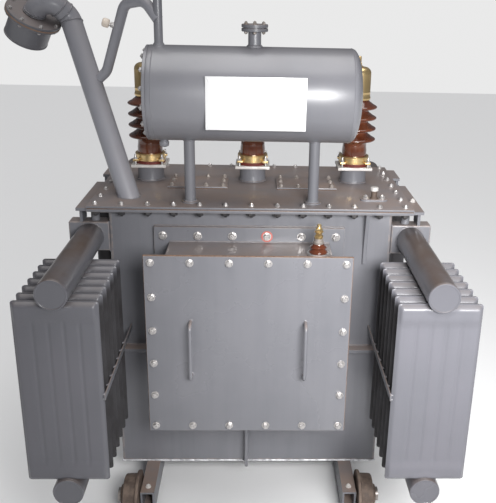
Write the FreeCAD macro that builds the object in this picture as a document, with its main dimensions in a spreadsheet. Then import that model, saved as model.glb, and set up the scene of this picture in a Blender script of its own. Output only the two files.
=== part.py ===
"""Oil-filled power transformer with a conservator, a cable box and four radiators.

Millimetres.  X runs along the tank, Y runs from the cable box towards the back and Z is up.
The origin is on the floor, under the centre of the tank.
"""
import FreeCAD
import Part
import math
import os
import re
from FreeCAD import Placement, Rotation, Vector

doc = FreeCAD.newDocument("power_transformer")

# ------------------------------------------------------------------ driving dimensions

DIMENSIONS = {
    # flanged wheels, axles and skids
    "flange_radius": 105, "flange_width": 14, "tread_radius": 90, "tread_width": 54,
    "hub_radius": 44, "hub_length": 16, "axle_radius": 20, "axle_clearance": 0.05,
    "collar_radius": 30, "collar_width": 10, "collar_gap": 2, "axle_drop": 45, "axle_front": 185,
    "wheel_gap": 6, "skid_inset": 144, "skid_width": 60, "skid_height": 100, "skid_wall": 8,
    "skid_reach": 235,
    # tank
    "tank_length": 1174, "tank_width": 612, "tank_height": 1237,
    "rim_overhang": 74, "rim_plate": 12, "cover_plate": 12,
    "band_height": 587, "band_depth": 50, "band_plate": 16,
    "rib_offset": -15, "rib_plate": 14, "rib_depth": 50,
    "gusset_gap": 83, "gusset_plate": 14, "gusset_height": 235, "gusset_depth": 48,
    "gusset_toe": 14, "gusset_step": 60,
    # cable box on the front wall
    "frame_plate": 12, "box_offset": -7, "box_width": 664, "box_height": 630, "box_drop": 150,
    "box_depth": 360, "box_plate": 10, "box_front_flange": 58, "box_rear_flange": 63,
    "handle_spread": 219, "handle_length": 227, "handle_lift": -4, "handle_radius": 7,
    "handle_reach": 50, "handle_bend": 20,
    "neutral_inset": 57, "neutral_front": 160, "neutral_flange": 46, "neutral_base": 12,
    "neutral_radius": 37, "neutral_neck": 17, "neutral_height": 56, "stem_radius": 10,
    "stem_length": 58,
    # radiators, their headers and the ducts that carry them
    "panel_width": 300, "panel_tuck": 35, "panel_count": 7, "panel_pitch": 68, "panel_gap": 179,
    "panel_sheet": 5, "panel_thick": 20, "panel_border": 16, "flute_count": 5, "flute_gap": 12,
    "flute_inset": 44, "gallery_height": 52, "gallery_inset": 14,
    "header_offset": 80.5, "header_radius": 57, "header_drop": 139, "header_low": 302,
    "header_end": 40, "header_gap": 0.3, "duct_end": 28.5, "duct_depth": 70, "duct_margin": 5.5,
    "tie_gap": 77, "tie_width": 22, "tie_plate": 5,
    # lifting points under the rim
    "lug_inset": 13, "lug_radius": 18, "lug_back": 36, "step_width": 44, "step_front": 60,
    "step_long": 364, "step_short": 110, "cheek_plate": 12, "cheek_depth": 78,
    # conservator
    "shell_radius": 183, "shell_length": 796, "shell_rise": 438, "shell_back": 25,
    "shell_dish": 28, "seat_gap": 0.3, "post_radius": 22, "post_spread": 252, "post_back": 14,
    "filler_offset": 6, "filler_radius": 25, "filler_length": 56, "filler_cap": 51,
    "filler_cap_height": 32, "breather_inset": 36, "breather_radius": 17,
    "breather_length": 228, "drain_inset": 46, "drain_radius": 19, "drain_drop": 30,
    "sign_offset": 14, "sign_length": 376, "sign_height": 197, "sign_plate": 4, "sign_lift": -10,
    "sign_stud": 7, "sign_stud_inset": 30,
    # explosion vent
    "vent_inset": 72, "vent_back": 85, "vent_radius": 44.5, "vent_bend": 60,
    "vent_flange": 115, "vent_flange_plate": 24, "vent_drum": 90, "vent_drum_length": 96,
    "balance_radius": 21, "balance_bend": 62, "balance_rise": 275, "balance_share": 0.62,
    "knob_radius": 18, "knob_length": 30, "knob_stub": 8, "knob_share": 0.67,
    # high-voltage bushings
    "bushing_pitch": 464, "bushing_back": 400, "turret_radius": 59, "turret_height": 65,
    "seat_margin": 10, "seat_plate": 12, "clamp_wall": 11, "clamp_height": 46,
    "porcelain_radius": 56, "porcelain_height": 300, "shed_radius": 92, "shed_first": 121,
    "shed_pitch": 48, "shed_count": 4, "shed_slope": 28.8, "shed_root": 12,
    "cap_lip": 2, "cap_height": 140, "cap_dome": 28, "cap_crown": 29,
    "terminal_radius": 12, "terminal_length": 45,
    # other fittings on the cover
    "hatch_inner_gap": 31, "hatch_outer_gap": 15, "hatch_width": 200, "hatch_front": 220,
    "hatch_plate": 9, "tap_inset": 72, "tap_back": 70, "tap_length": 116, "tap_width": 46,
    "tap_plate": 8, "tap_shaft": 13, "tap_shaft_height": 34, "tap_cap": 17, "tap_cap_height": 16,
}

# Steps of the bent pipes from point to point, left, back and up.
VENT_LEAN = Vector(-255, 263, 701)
VENT_ARCH = Vector(-93, -59, 96)
VENT_DROP = Vector(-46, 31, -84)
BALANCE_TEE = Vector(65, -8, 58)
# The balance pipe's upper bends, counted from the breather's foot on the shell's axis.
BALANCE_TURN = Vector(-138, 87, 327)
BALANCE_END = Vector(-53, 30, 343)

sheet = doc.addObject("Spreadsheet::Sheet", "sizes")
for row, (alias, amount) in enumerate(DIMENSIONS.items(), start=1):
    sheet.set("A%d" % row, alias)
    sheet.set("B%d" % row, str(amount))
    sheet.setAlias("B%d" % row, alias)
doc.recompute()

# Places that many pieces share, as formulas over the sheet's cells.
LIFT = "(flange_radius + axle_drop)"
TANK_TOP = "(flange_radius + axle_drop + tank_height)"
COVER_TOP = "(flange_radius + axle_drop + tank_height + cover_plate)"
FRONT = "(-tank_width / 2)"
SIDE = "(tank_length / 2)"
BOX_TOP = "(flange_radius + axle_drop + tank_height - box_drop)"
SHELL_AXIS = "(flange_radius + axle_drop + tank_height + cover_plate + shell_rise)"
SHELL_BACK = "(shell_back - tank_width / 2)"
SHELL_HALF = "(shell_length / 2)"
RADIATOR = "(tank_length / 2 + header_offset)"
TOP_HEADER = "(flange_radius + axle_drop + tank_height - header_drop)"
LOW_HEADER = "(flange_radius + axle_drop + header_low)"
REACH = "(panel_gap + (panel_count - 1) * panel_pitch)"
SEAT_HALF = "(porcelain_radius + clamp_wall + seat_margin)"

WORD = re.compile(r"[a-z_]{3,}")
PLACE = {
    "X": Rotation(Vector(0, 1, 0), 90),
    "Y": Rotation(Vector(1, 0, 0), -90),
    "Z": Rotation(),
}


def size(alias):
    """The number in a cell of the sheet."""
    return float(sheet.get(alias))


def bind(thing, prop, formula):
    """Tie a property to a formula over the sheet's cells."""
    text = WORD.sub(lambda word: "sizes." + word.group(0), str(formula))
    thing.setExpression(prop, text)


def block(name, x, y, z):
    """A box between the low and high formulas given for each axis."""
    thing = doc.addObject("Part::Box", name)
    for prop, axis, (low, high) in (("Length", "x", x), ("Width", "y", y), ("Height", "z", z)):
        bind(thing, prop, "(%s) - (%s)" % (high, low))
        bind(thing, "Placement.Base." + axis, low)
    return thing


def lay_along(thing, axis, start, centre):
    """Point a round primitive along an axis, from its start and about its centre line."""
    thing.Placement = Placement(Vector(), PLACE[axis])
    others = iter(centre)
    for letter in "XYZ":
        formula = start if letter == axis else next(others)
        bind(thing, "Placement.Base." + letter.lower(), formula)


def rod(name, radius, axis, start, end, centre):
    """A cylinder along an axis; centre holds its other two coordinates."""
    thing = doc.addObject("Part::Cylinder", name)
    bind(thing, "Radius", radius)
    bind(thing, "Height", "(%s) - (%s)" % (end, start))
    lay_along(thing, axis, start, centre)
    return thing


def taper(name, first, last, axis, start, end, centre):
    """A cone along an axis, from the first radius to the last."""
    thing = doc.addObject("Part::Cone", name)
    bind(thing, "Radius1", first)
    bind(thing, "Radius2", last)
    bind(thing, "Height", "(%s) - (%s)" % (end, start))
    lay_along(thing, axis, start, centre)
    return thing


def joined(name, things):
    """One solid out of touching solids."""
    thing = doc.addObject("Part::MultiFuse", name)
    thing.Shapes = things
    thing.Refine = True
    return thing


def group(name, things):
    """Separate solids kept in one piece."""
    thing = doc.addObject("Part::Compound", name)
    thing.Links = things
    return thing


def less(name, base, tool):
    """The base with the tool cut away."""
    thing = doc.addObject("Part::Cut", name)
    thing.Base = base
    thing.Tool = tool
    return thing


def common(name, first, second):
    """What two solids share."""
    thing = doc.addObject("Part::Common", name)
    thing.Base = first
    thing.Tool = second
    return thing


def mirrored(name, source, normal):
    """The piece on the other side of a plane through the origin."""
    thing = doc.addObject("Part::Mirroring", name)
    thing.Source = source
    thing.Base = Vector()
    thing.Normal = normal
    return thing


def shaped(name, shape, place=Placement()):
    """A piece whose shape is made by Part's own functions."""
    thing = doc.addObject("Part::Feature", name)
    thing.Shape = shape
    thing.Placement = place
    return thing


def bent_rod(points, radius, bend):
    """A round bar along straight runs joined by arcs of one radius."""
    edges = []
    start = points[0]
    for before, corner, after in zip(points, points[1:], points[2:]):
        back = (before - corner).normalize()
        ahead = (after - corner).normalize()
        half = back.getAngle(ahead) / 2
        setback = bend / math.tan(half)
        first = corner + back * setback
        last = corner + ahead * setback
        middle = (back + ahead).normalize()
        apex = corner + middle * (bend / math.sin(half) - bend)
        edges.append(Part.LineSegment(start, first).toShape())
        edges.append(Part.Arc(first, apex, last).toShape())
        start = last
    edges.append(Part.LineSegment(start, points[-1]).toShape())
    ring = Part.makeCircle(radius, points[0], points[1] - points[0])
    return Part.Wire(edges).makePipeShell([Part.Wire([ring])], True, False)


NODES = []


def node(label, thing):
    """Name a finished piece."""
    thing.Label = label
    NODES.append(thing)
    return thing


# ------------------------------------------------------------------ tank

tank = block("tank", ("-" + SIDE, SIDE), (FRONT, "-" + FRONT), (LIFT, TANK_TOP))
node("tank_body", tank)

rim_x = ("-%s - rim_overhang" % SIDE, SIDE + " + rim_overhang")
rim_y = (FRONT + " - rim_overhang", "-%s + rim_overhang" % FRONT)
rim_slab = block("rim_slab", rim_x, rim_y, (TANK_TOP + " - rim_plate", TANK_TOP))
rim_core = block("rim_core", ("-" + SIDE, SIDE), (FRONT, "-" + FRONT), (LIFT, TANK_TOP))
node("tank_rim", less("rim", rim_slab, rim_core))
node("tank_cover", block("cover", rim_x, rim_y, (TANK_TOP, COVER_TOP)))

# The flat bar round the tank stops at the cable box's frame.
band_z = (LIFT + " + band_height", LIFT + " + band_height + band_plate")
band_x = ("-%s - band_depth" % SIDE, SIDE + " + band_depth")
band_y = (FRONT + " - band_depth", "-%s + band_depth" % FRONT)
band_slab = block("band_slab", band_x, band_y, band_z)
band_core = block("band_core", ("-" + SIDE, SIDE), (FRONT, "-" + FRONT), band_z)

frame_x = ("box_offset - box_width / 2 - box_rear_flange", "box_offset + box_width / 2 + box_rear_flange")
box_z = (BOX_TOP + " - box_height", BOX_TOP)
frame_z = (box_z[0] + " - box_rear_flange", box_z[1] + " + box_rear_flange")
band_gap = block("band_gap", frame_x, (FRONT + " - band_depth", FRONT), band_z)
node("tank_band", less("band", less("band_ring", band_slab, band_core), band_gap))

rib_x = ("rib_offset - rib_plate / 2", "rib_offset + rib_plate / 2")
front_rib = block("front_rib", rib_x, (FRONT + " - rib_depth", FRONT), (LIFT, frame_z[0]))
rear_rib = block("rear_rib", rib_x, ("-" + FRONT, "-%s + rib_depth" % FRONT), (LIFT, band_z[0]))
node("tank_ribs", group("ribs", [front_rib, rear_rib]))

gusset_top = size("flange_radius") + size("axle_drop") + size("tank_height") - size("rim_plate")
gusset_foot = gusset_top - size("gusset_height")
wall = -size("tank_width") / 2
gusset_outline = [
    (wall, gusset_top),
    (wall - size("gusset_depth"), gusset_top),
    (wall - size("gusset_toe"), gusset_foot + size("gusset_step")),
    (wall - size("gusset_toe"), gusset_foot),
    (wall, gusset_foot),
    (wall, gusset_top),
]
frame_side = size("box_offset") + size("box_width") / 2 + size("box_rear_flange")
gusset_side = frame_side + size("gusset_gap")
gusset_wire = Part.makePolygon([Vector(0, depth, height) for depth, height in gusset_outline])
gusset = Part.Face(gusset_wire).extrude(Vector(size("gusset_plate"), 0, 0))
node("front_gusset", shaped("gusset", gusset, Placement(Vector(gusset_side, 0, 0), Rotation())))

# ------------------------------------------------------------------ cable box

frame_face = FRONT + " - frame_plate"
box_x = ("box_offset - box_width / 2", "box_offset + box_width / 2")
flange_x = (box_x[0] + " - box_front_flange", box_x[1] + " + box_front_flange")
flange_z = (box_z[0] + " - box_front_flange", box_z[1] + " + box_front_flange")
cover_back = FRONT + " - box_depth + box_plate"
node("cable_box_frame", block("box_frame", frame_x, (frame_face, FRONT), frame_z))
box_shell = block("box_shell", box_x, (cover_back, frame_face), box_z)
box_rear = block("box_rear", frame_x, (frame_face + " - box_plate", frame_face), frame_z)
box_front = block("box_front", flange_x, (cover_back, cover_back + " + box_plate"), flange_z)
node("cable_box_body", joined("box_body", [box_shell, box_rear, box_front]))
box_face = FRONT + " - box_depth"
node("cable_box_cover", block("box_cover", flange_x, (box_face, cover_back), flange_z))

face = wall - size("box_depth")
grip = face - size("handle_reach")
tank_top = size("flange_radius") + size("axle_drop") + size("tank_height")
middle = tank_top - size("box_drop") - size("box_height") / 2
low = middle + size("handle_lift") - size("handle_length") / 2
high = low + size("handle_length")
handles = []
for side in (-1, 1):
    across = size("box_offset") + side * size("handle_spread")
    route = [Vector(across, face, low), Vector(across, grip, low)]
    route += [Vector(across, grip, high), Vector(across, face, high)]
    bar = bent_rod(route, size("handle_radius"), size("handle_bend"))
    handles.append(shaped("handle", bar))
node("cable_box_handles", group("handles", handles))

neutral_at = ("box_offset + box_width / 2 - neutral_inset", FRONT + " - neutral_front")
neutral_seat = BOX_TOP + " + neutral_base"
neutral_top = neutral_seat + " + neutral_height"
neutral_foot = rod("neutral_foot", "neutral_flange", "Z", BOX_TOP, neutral_seat, neutral_at)
neutral_cone = taper(
    "neutral_cone", "neutral_radius", "neutral_neck", "Z", neutral_seat, neutral_top, neutral_at
)
node("neutral_bushing", joined("neutral", [neutral_foot, neutral_cone]))
stem_top = neutral_top + " + stem_length"
node("neutral_stem", rod("neutral_stud", "stem_radius", "Z", neutral_top, stem_top, neutral_at))

# ------------------------------------------------------------------ radiators

OTHER_CORNERS = (
    ("front_left", (Vector(1, 0, 0),)),
    ("rear_right", (Vector(0, 1, 0),)),
    ("rear_left", (Vector(1, 0, 0), Vector(0, 1, 0))),
)


def copies(name, first):
    """The piece at the front right corner with its mirror images at the other three."""
    corners = {"front_right": first}
    for corner, normals in OTHER_CORNERS:
        thing = first
        for normal in normals:
            thing = mirrored(name + "_image", thing, normal)
        corners[corner] = thing
    return corners


def at_corners(name, first):
    """Separate nodes for a piece that stands at all four corners."""
    for corner, thing in copies(name, first).items():
        node("%s_%s" % (name, corner), thing)


panel_z = (LOW_HEADER + " + panel_tuck", TOP_HEADER + " - panel_tuck")
panel_edge = RADIATOR + " - panel_width / 2"
sheets = []
slabs = []
for place in range(int(size("panel_count"))):
    line = "%s - panel_gap - %d * panel_pitch" % (FRONT, place)
    sheet_y = ("%s - panel_sheet / 2" % line, "%s + panel_sheet / 2" % line)
    slab_y = ("%s - panel_thick / 2" % line, "%s + panel_thick / 2" % line)
    across = (panel_edge, panel_edge + " + panel_width")
    sheets.append(block("sheet", across, sheet_y, panel_z))
    slabs.append(block("slab", across, slab_y, panel_z))

header_y = ("%s - %s - header_end" % (FRONT, REACH), FRONT)
gaps_width = "(2 * panel_border + (flute_count - 1) * flute_gap)"
flute_width = "((panel_width - %s) / flute_count)" % gaps_width
channels = []
for place in range(int(size("flute_count"))):
    flute_low = "%s + panel_border + %d * (%s + flute_gap)" % (panel_edge, place, flute_width)
    flute_z = (panel_z[0] + " + flute_inset", panel_z[1] + " - flute_inset")
    channels.append(block("flute", (flute_low, flute_low + " + " + flute_width), header_y, flute_z))
gallery_x = (panel_edge + " + gallery_inset", panel_edge + " + panel_width - gallery_inset")
low_gallery = (panel_z[0] + " + gallery_inset", panel_z[0] + " + gallery_inset + gallery_height")
top_gallery = (panel_z[1] + " - gallery_inset - gallery_height", panel_z[1] + " - gallery_inset")
channels.append(block("low_gallery", gallery_x, header_y, low_gallery))
channels.append(block("top_gallery", gallery_x, header_y, top_gallery))
channel_grid = joined("channel_grid", channels)
swells = common("swells", group("slabs", slabs), channel_grid)
plain_panels = joined("plain_panels", [group("sheets", sheets), swells])

headers = []
bores = []
for height in (TOP_HEADER, LOW_HEADER):
    centre = (RADIATOR, height)
    headers.append(rod("header", "header_radius", "Y", *header_y, centre))
    bores.append(rod("header_bore", "header_radius + header_gap", "Y", *header_y, centre))
panels = less("panels", plain_panels, group("header_bores", bores))
at_corners("radiator_panels", panels)
at_corners("radiator_headers", group("headers", headers))

duct_half = "(header_radius + duct_margin)"
duct_x = (SIDE, RADIATOR + " + header_radius + duct_end")
duct_y = (FRONT, FRONT + " + duct_depth")
ducts = []
for height in (TOP_HEADER, LOW_HEADER):
    duct_z = ("%s - %s" % (height, duct_half), "%s + %s" % (height, duct_half))
    ducts.append(block("duct", duct_x, duct_y, duct_z))
duct_sets = copies("duct_set", group("ducts", ducts))
node("header_ducts", group("all_ducts", list(duct_sets.values())))

tie_x = (panel_edge + " - tie_plate", panel_edge)
tie_y = ("%s - %s - tie_width / 2" % (FRONT, REACH), FRONT)
tie_z = (band_z[1] + " + tie_gap", band_z[1] + " + tie_gap + tie_width")
tie = block("tie", tie_x, tie_y, tie_z)
node("tie_bars", group("ties", list(copies("tie", tie).values())))

# ------------------------------------------------------------------ lifting points

lug_z = ("%s + %s" % (TOP_HEADER, duct_half), TANK_TOP + " - rim_plate")
lug_at = (SIDE + " + rim_overhang - lug_inset", FRONT + " + lug_back")
step_x = (SIDE + " + rim_overhang", SIDE + " + rim_overhang + step_width")
cheek_x = (step_x[1] + " - cheek_plate", step_x[1])
cheek_y = (FRONT, FRONT + " + cheek_depth")
lugs = {}
for reach in ("step_long", "step_short"):
    step_y = (FRONT + " - step_front", "%s + %s" % (FRONT, reach))
    step = block("step", step_x, step_y, (TANK_TOP + " - rim_plate", TANK_TOP))
    cheek = block("cheek", cheek_x, cheek_y, lug_z)
    bollard = rod("bollard", "lug_radius", "Z", *lug_z, lug_at)
    lugs[reach] = group("lug", [joined("lug_plate", [step, cheek]), bollard])
rear_lug = mirrored("rear_lug", lugs["step_short"], Vector(0, 1, 0))
right_lugs = [lugs["step_long"], rear_lug]
left_lugs = [mirrored("left_lug", lug, Vector(1, 0, 0)) for lug in right_lugs]
node("lifting_lugs", group("lugs", right_lugs + left_lugs))

# ------------------------------------------------------------------ conservator

shell_ends = ("-" + SHELL_HALF, SHELL_HALF)
shell_at = (SHELL_BACK, SHELL_AXIS)
node("conservator_shell", rod("shell", "shell_radius", "X", *shell_ends, shell_at))
dome_radius = "((shell_radius * shell_radius + shell_dish * shell_dish) / (2 * shell_dish))"
for name, side in (("right", ""), ("left", "-")):
    ball = doc.addObject("Part::Sphere", "dome_ball")
    bind(ball, "Radius", dome_radius)
    bind(ball, "Placement.Base.x", "%s(%s + shell_dish - %s)" % (side, SHELL_HALF, dome_radius))
    bind(ball, "Placement.Base.y", SHELL_BACK)
    bind(ball, "Placement.Base.z", SHELL_AXIS)
    spans = (SHELL_HALF, SHELL_HALF + " + shell_dish")
    if side:
        spans = ("-%s - shell_dish" % SHELL_HALF, "-" + SHELL_HALF)
    slice_ = rod("dome_slice", "shell_radius", "X", *spans, shell_at)
    node("conservator_end_" + name, common("dome_" + name, slice_, ball))

seat = rod("shell_seat", "shell_radius + seat_gap", "X", *shell_ends, shell_at)


def on_shell(name, thing):
    """Shape the end of a piece to the conservator's round shell."""
    return less(name, thing, seat)


posts = []
for side in ("-", ""):
    post_at = (side + "post_spread", FRONT + " + post_back")
    posts.append(on_shell("post", rod("post_bar", "post_radius", "Z", COVER_TOP, SHELL_AXIS, post_at)))
node("conservator_posts", group("posts", posts))

filler_at = ("filler_offset", SHELL_BACK)
filler_top = SHELL_AXIS + " + shell_radius + filler_length"
filler = rod("filler_bar", "filler_radius", "Z", SHELL_AXIS, filler_top, filler_at)
node("filler_neck", on_shell("filler", filler))
cap_top = filler_top + " + filler_cap_height"
node("filler_cap", rod("filler_lid", "filler_cap", "Z", filler_top, cap_top, filler_at))

breather_at = ("breather_inset - " + SHELL_HALF, SHELL_BACK)
breather_top = SHELL_AXIS + " + shell_radius + breather_length"
breather = rod("breather_bar", "breather_radius", "Z", SHELL_AXIS, breather_top, breather_at)

drain_at = ("drain_inset - " + SHELL_HALF, SHELL_BACK)
drain_low = SHELL_AXIS + " - shell_radius - drain_drop"
drain = rod("drain_bar", "drain_radius", "Z", drain_low, SHELL_AXIS, drain_at)
node("drain_plug", on_shell("drain", drain))

sign_x = ("sign_offset - sign_length / 2", "sign_offset + sign_length / 2")
sign_middle = SHELL_AXIS + " + sign_lift"
sign_z = (sign_middle + " - sign_height / 2", sign_middle + " + sign_height / 2")
sign_back = SHELL_BACK + " - shell_radius - seat_gap"
board = block("board", sign_x, (sign_back + " - sign_plate", sign_back), sign_z)
studs = []
for across in (sign_x[0] + " + sign_stud_inset", sign_x[1] + " - sign_stud_inset"):
    for height in (sign_z[0] + " + sign_stud_inset", sign_z[1] + " - sign_stud_inset"):
        stud_at = (across, height)
        bar = rod("sign_stud", "sign_stud", "Y", sign_back, SHELL_BACK, stud_at)
        studs.append(on_shell("stud", bar))
node("sign_plate", joined("sign", [board] + studs))

# ------------------------------------------------------------------ explosion vent

cover_top = tank_top + size("cover_plate")
vent_side = size("vent_inset") - size("tank_length") / 2
vent_foot = Vector(vent_side, wall + size("vent_back"), cover_top)
vent_elbow = vent_foot + VENT_LEAN
vent_crown = vent_elbow + VENT_ARCH
vent_mouth = vent_crown + VENT_DROP
spare = 2 * size("vent_radius")
vent_start = vent_foot - (vent_elbow - vent_foot).normalize() * spare
vent_route = [vent_start, vent_elbow, vent_crown, vent_mouth]
below_corner = vent_start - Vector(spare, spare, spare)
below = Part.makeBox(3 * spare, 3 * spare, cover_top - below_corner.z, below_corner)
vent = bent_rod(vent_route, size("vent_radius"), size("vent_bend")).cut(below)
node("vent_pipe", shaped("vent", vent))

outlet = (vent_mouth - vent_crown).normalize()
disc = Part.makeCylinder(size("vent_flange"), size("vent_flange_plate"), vent_mouth, outlet)
drum_start = vent_mouth + outlet * size("vent_flange_plate")
drum = Part.makeCylinder(size("vent_drum"), size("vent_drum_length"), drum_start, outlet)
node("vent_head", shaped("head", disc.fuse(drum).removeSplitter()))

branch = vent_foot + (vent_elbow - vent_foot) * size("balance_share")
breather_side = size("breather_inset") - size("shell_length") / 2
breather_foot = Vector(breather_side, wall + size("shell_back"), cover_top + size("shell_rise"))
balance_route = [
    branch,
    branch + BALANCE_TEE,
    breather_foot + BALANCE_TURN,
    breather_foot + BALANCE_END,
    breather_foot + Vector(0, 0, size("balance_rise")),
]
balance = bent_rod(balance_route, size("balance_radius"), size("balance_bend"))
around_vent = bent_rod(vent_route, size("vent_radius") + size("seat_gap"), size("vent_bend"))
breather_bore = size("breather_radius") + size("seat_gap")
breather_length = size("shell_radius") + size("breather_length")
around_breather = Part.makeCylinder(breather_bore, breather_length, breather_foot)
balance = balance.cut(around_vent).cut(around_breather)
balance = max(balance.Solids, key=lambda solid: solid.Volume)
node("breather_pipe", on_shell("breather", breather))
node("balance_pipe", shaped("balance", balance))

knob_run = balance_route[2] - balance_route[1]
knob_at = balance_route[1] + knob_run * size("knob_share")
knob_run.normalize()
outward = (Vector(-1, 0, 0) + knob_run * knob_run.x).normalize()
stub_length = size("balance_radius") + size("knob_length") / 2
stub = Part.makeCylinder(size("knob_stub"), stub_length, knob_at, outward)
around_balance = bent_rod(balance_route, size("balance_radius") + size("seat_gap"), size("balance_bend"))
stub = stub.cut(around_balance)
knob_start = knob_at + outward * stub_length
knob = Part.makeCylinder(size("knob_radius"), size("knob_length"), knob_start, outward)
node("vent_valve", shaped("valve", stub.fuse(knob).removeSplitter()))

# ------------------------------------------------------------------ high-voltage bushings

turret_top = COVER_TOP + " + turret_height"
seat_top = turret_top + " + seat_plate"
porcelain_top = seat_top + " + porcelain_height"
bushing_top = porcelain_top + " + cap_height"
dome_foot = bushing_top + " - cap_dome"
clamp_radius = "porcelain_radius + clamp_wall"
cap_radius = "porcelain_radius + cap_lip"
turrets = []
clamps = []
terminals = []
for name, step in (("left", "-bushing_pitch"), ("middle", "0"), ("right", "bushing_pitch")):
    at = (step, FRONT + " + bushing_back")
    turret = rod("turret", "turret_radius", "Z", COVER_TOP, turret_top, at)
    plate_x = ("%s - %s" % (at[0], SEAT_HALF), "%s + %s" % (at[0], SEAT_HALF))
    plate_y = ("%s - %s" % (at[1], SEAT_HALF), "%s + %s" % (at[1], SEAT_HALF))
    plate = block("seat_plate", plate_x, plate_y, (turret_top, seat_top))
    turrets.append(joined("bushing_seat", [turret, plate]))

    clamp_top = seat_top + " + clamp_height"
    ring = rod("clamp_ring", clamp_radius, "Z", seat_top, clamp_top, at)
    hole = rod("clamp_hole", "porcelain_radius + seat_gap", "Z", seat_top, clamp_top, at)
    clamps.append(less("clamp", ring, hole))

    body = [rod("porcelain_core", "porcelain_radius", "Z", seat_top, porcelain_top, at)]
    for ring_number in range(int(size("shed_count"))):
        rim = "%s + shed_first + %d * shed_pitch" % (seat_top, ring_number)
        slope = ("shed_radius", "porcelain_radius")
        body.append(taper("shed_top", *slope, "Z", rim, rim + " + shed_slope", at))
        body.append(taper("shed_low", *reversed(slope), "Z", rim + " - shed_root", rim, at))
    node("bushing_porcelain_" + name, joined("porcelain", body))

    cap = rod("cap", cap_radius, "Z", porcelain_top, dome_foot, at)
    dome = taper("cap_dome", cap_radius, "cap_crown", "Z", dome_foot, bushing_top, at)
    stud_top = bushing_top + " + terminal_length"
    stud = rod("terminal_stud", "terminal_radius", "Z", bushing_top, stud_top, at)
    terminals.append(joined("terminal", [cap, dome, stud]))
node("bushing_terminals", group("terminals", terminals))
node("bushing_turrets", group("turrets", turrets))
node("bushing_clamps", group("clamps", clamps))

# ------------------------------------------------------------------ other fittings on the cover

hatch_x = (SEAT_HALF + " + hatch_inner_gap", "bushing_pitch - %s - hatch_outer_gap" % SEAT_HALF)
hatch_y = (FRONT + " + hatch_front", FRONT + " + hatch_front + hatch_width")
hatch = block("hatch", hatch_x, hatch_y, (COVER_TOP, COVER_TOP + " + hatch_plate"))
other_hatch = mirrored("other_hatch", hatch, Vector(1, 0, 0))
node("hatch_covers", group("hatches", [hatch, other_hatch]))

tap_side = SIDE + " - tap_inset"
tap_line = FRONT + " + tap_back"
tap_foot = COVER_TOP + " + tap_plate"
tap_half = "(tap_length - tap_width) / 2"
tap_y = (tap_line + " - tap_width / 2", tap_line + " + tap_width / 2")
tap_x = ("%s - %s" % (tap_side, tap_half), "%s + %s" % (tap_side, tap_half))
tap_parts = [block("tap_bar", tap_x, tap_y, (COVER_TOP, tap_foot))]
for across in tap_x:
    tap_parts.append(rod("tap_end", "tap_width / 2", "Z", COVER_TOP, tap_foot, (across, tap_line)))
shaft_top = tap_foot + " + tap_shaft_height"
tap_at = (tap_side, tap_line)
tap_parts.append(rod("tap_shaft", "tap_shaft", "Z", tap_foot, shaft_top, tap_at))
tap_parts.append(rod("tap_knob", "tap_cap", "Z", shaft_top, shaft_top + " + tap_cap_height", tap_at))
node("tap_switch", joined("tap", tap_parts))

# ------------------------------------------------------------------ skids, axles and wheels

skid_y = (FRONT + " - skid_reach", "-%s + skid_reach" % FRONT)
skid_line = SIDE + " - skid_inset"
skid_x = (skid_line + " - skid_width / 2", skid_line + " + skid_width / 2")
skid_z = (LIFT + " - skid_height", LIFT)
inner_x = (skid_x[0] + " + skid_wall", skid_x[1] + " - skid_wall")
inner_z = (skid_z[0] + " + skid_wall", skid_z[1] + " - skid_wall")
skid_tube = block("skid_tube", skid_x, skid_y, skid_z)
skid = less("skid", skid_tube, block("skid_bore", inner_x, skid_y, inner_z))
other_skid = mirrored("other_skid", skid, Vector(1, 0, 0))
node("skids", group("skid_pair", [skid, other_skid]))

axle_at = (FRONT + " - axle_front", "flange_radius")
axle_foot = skid_x[1]
wheel_start = axle_foot + " + wheel_gap"
tread_start = wheel_start + " + flange_width"
hub_start = tread_start + " + tread_width"
wheel_end = hub_start + " + hub_length"
collar_start = wheel_end + " + collar_gap"
pin = rod("axle_pin", "axle_radius", "X", axle_foot, collar_start, axle_at)
collar_end = collar_start + " + collar_width"
collar = rod("axle_collar", "collar_radius", "X", collar_start, collar_end, axle_at)
axle = joined("axle", [pin, collar])
node("axles", group("axle_set", list(copies("axle", axle).values())))

rounds = [
    rod("wheel_flange", "flange_radius", "X", wheel_start, tread_start, axle_at),
    rod("wheel_tread", "tread_radius", "X", tread_start, hub_start, axle_at),
    rod("wheel_hub", "hub_radius", "X", hub_start, wheel_end, axle_at),
]
wheel_bore = rod("wheel_bore", "axle_radius + axle_clearance", "X", wheel_start, wheel_end, axle_at)
at_corners("wheel", less("wheel", joined("wheel_disc", rounds), wheel_bore))

# ------------------------------------------------------------------ check and write

doc.recompute()
for thing in doc.Objects:
    faults = [state for state in thing.State if "Invalid" in state or "Error" in state]
    if faults:
        raise RuntimeError("%s is %s" % (thing.Name, ", ".join(faults)))

os.makedirs("parts", exist_ok=True)
for piece in NODES:
    shape = piece.Shape
    if shape.isNull() or not shape.isValid() or not shape.Solids:
        raise RuntimeError("%s has no valid solid" % piece.Label)
    shape.exportStep("parts/%s.step" % piece.Label)
print("%d pieces written" % len(NODES))
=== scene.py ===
"""Oil-filled power transformer with a conservator, a cable box and four radiators, in metres."""

import math

import bmesh
import bpy
from mathutils import Matrix, Vector


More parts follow.
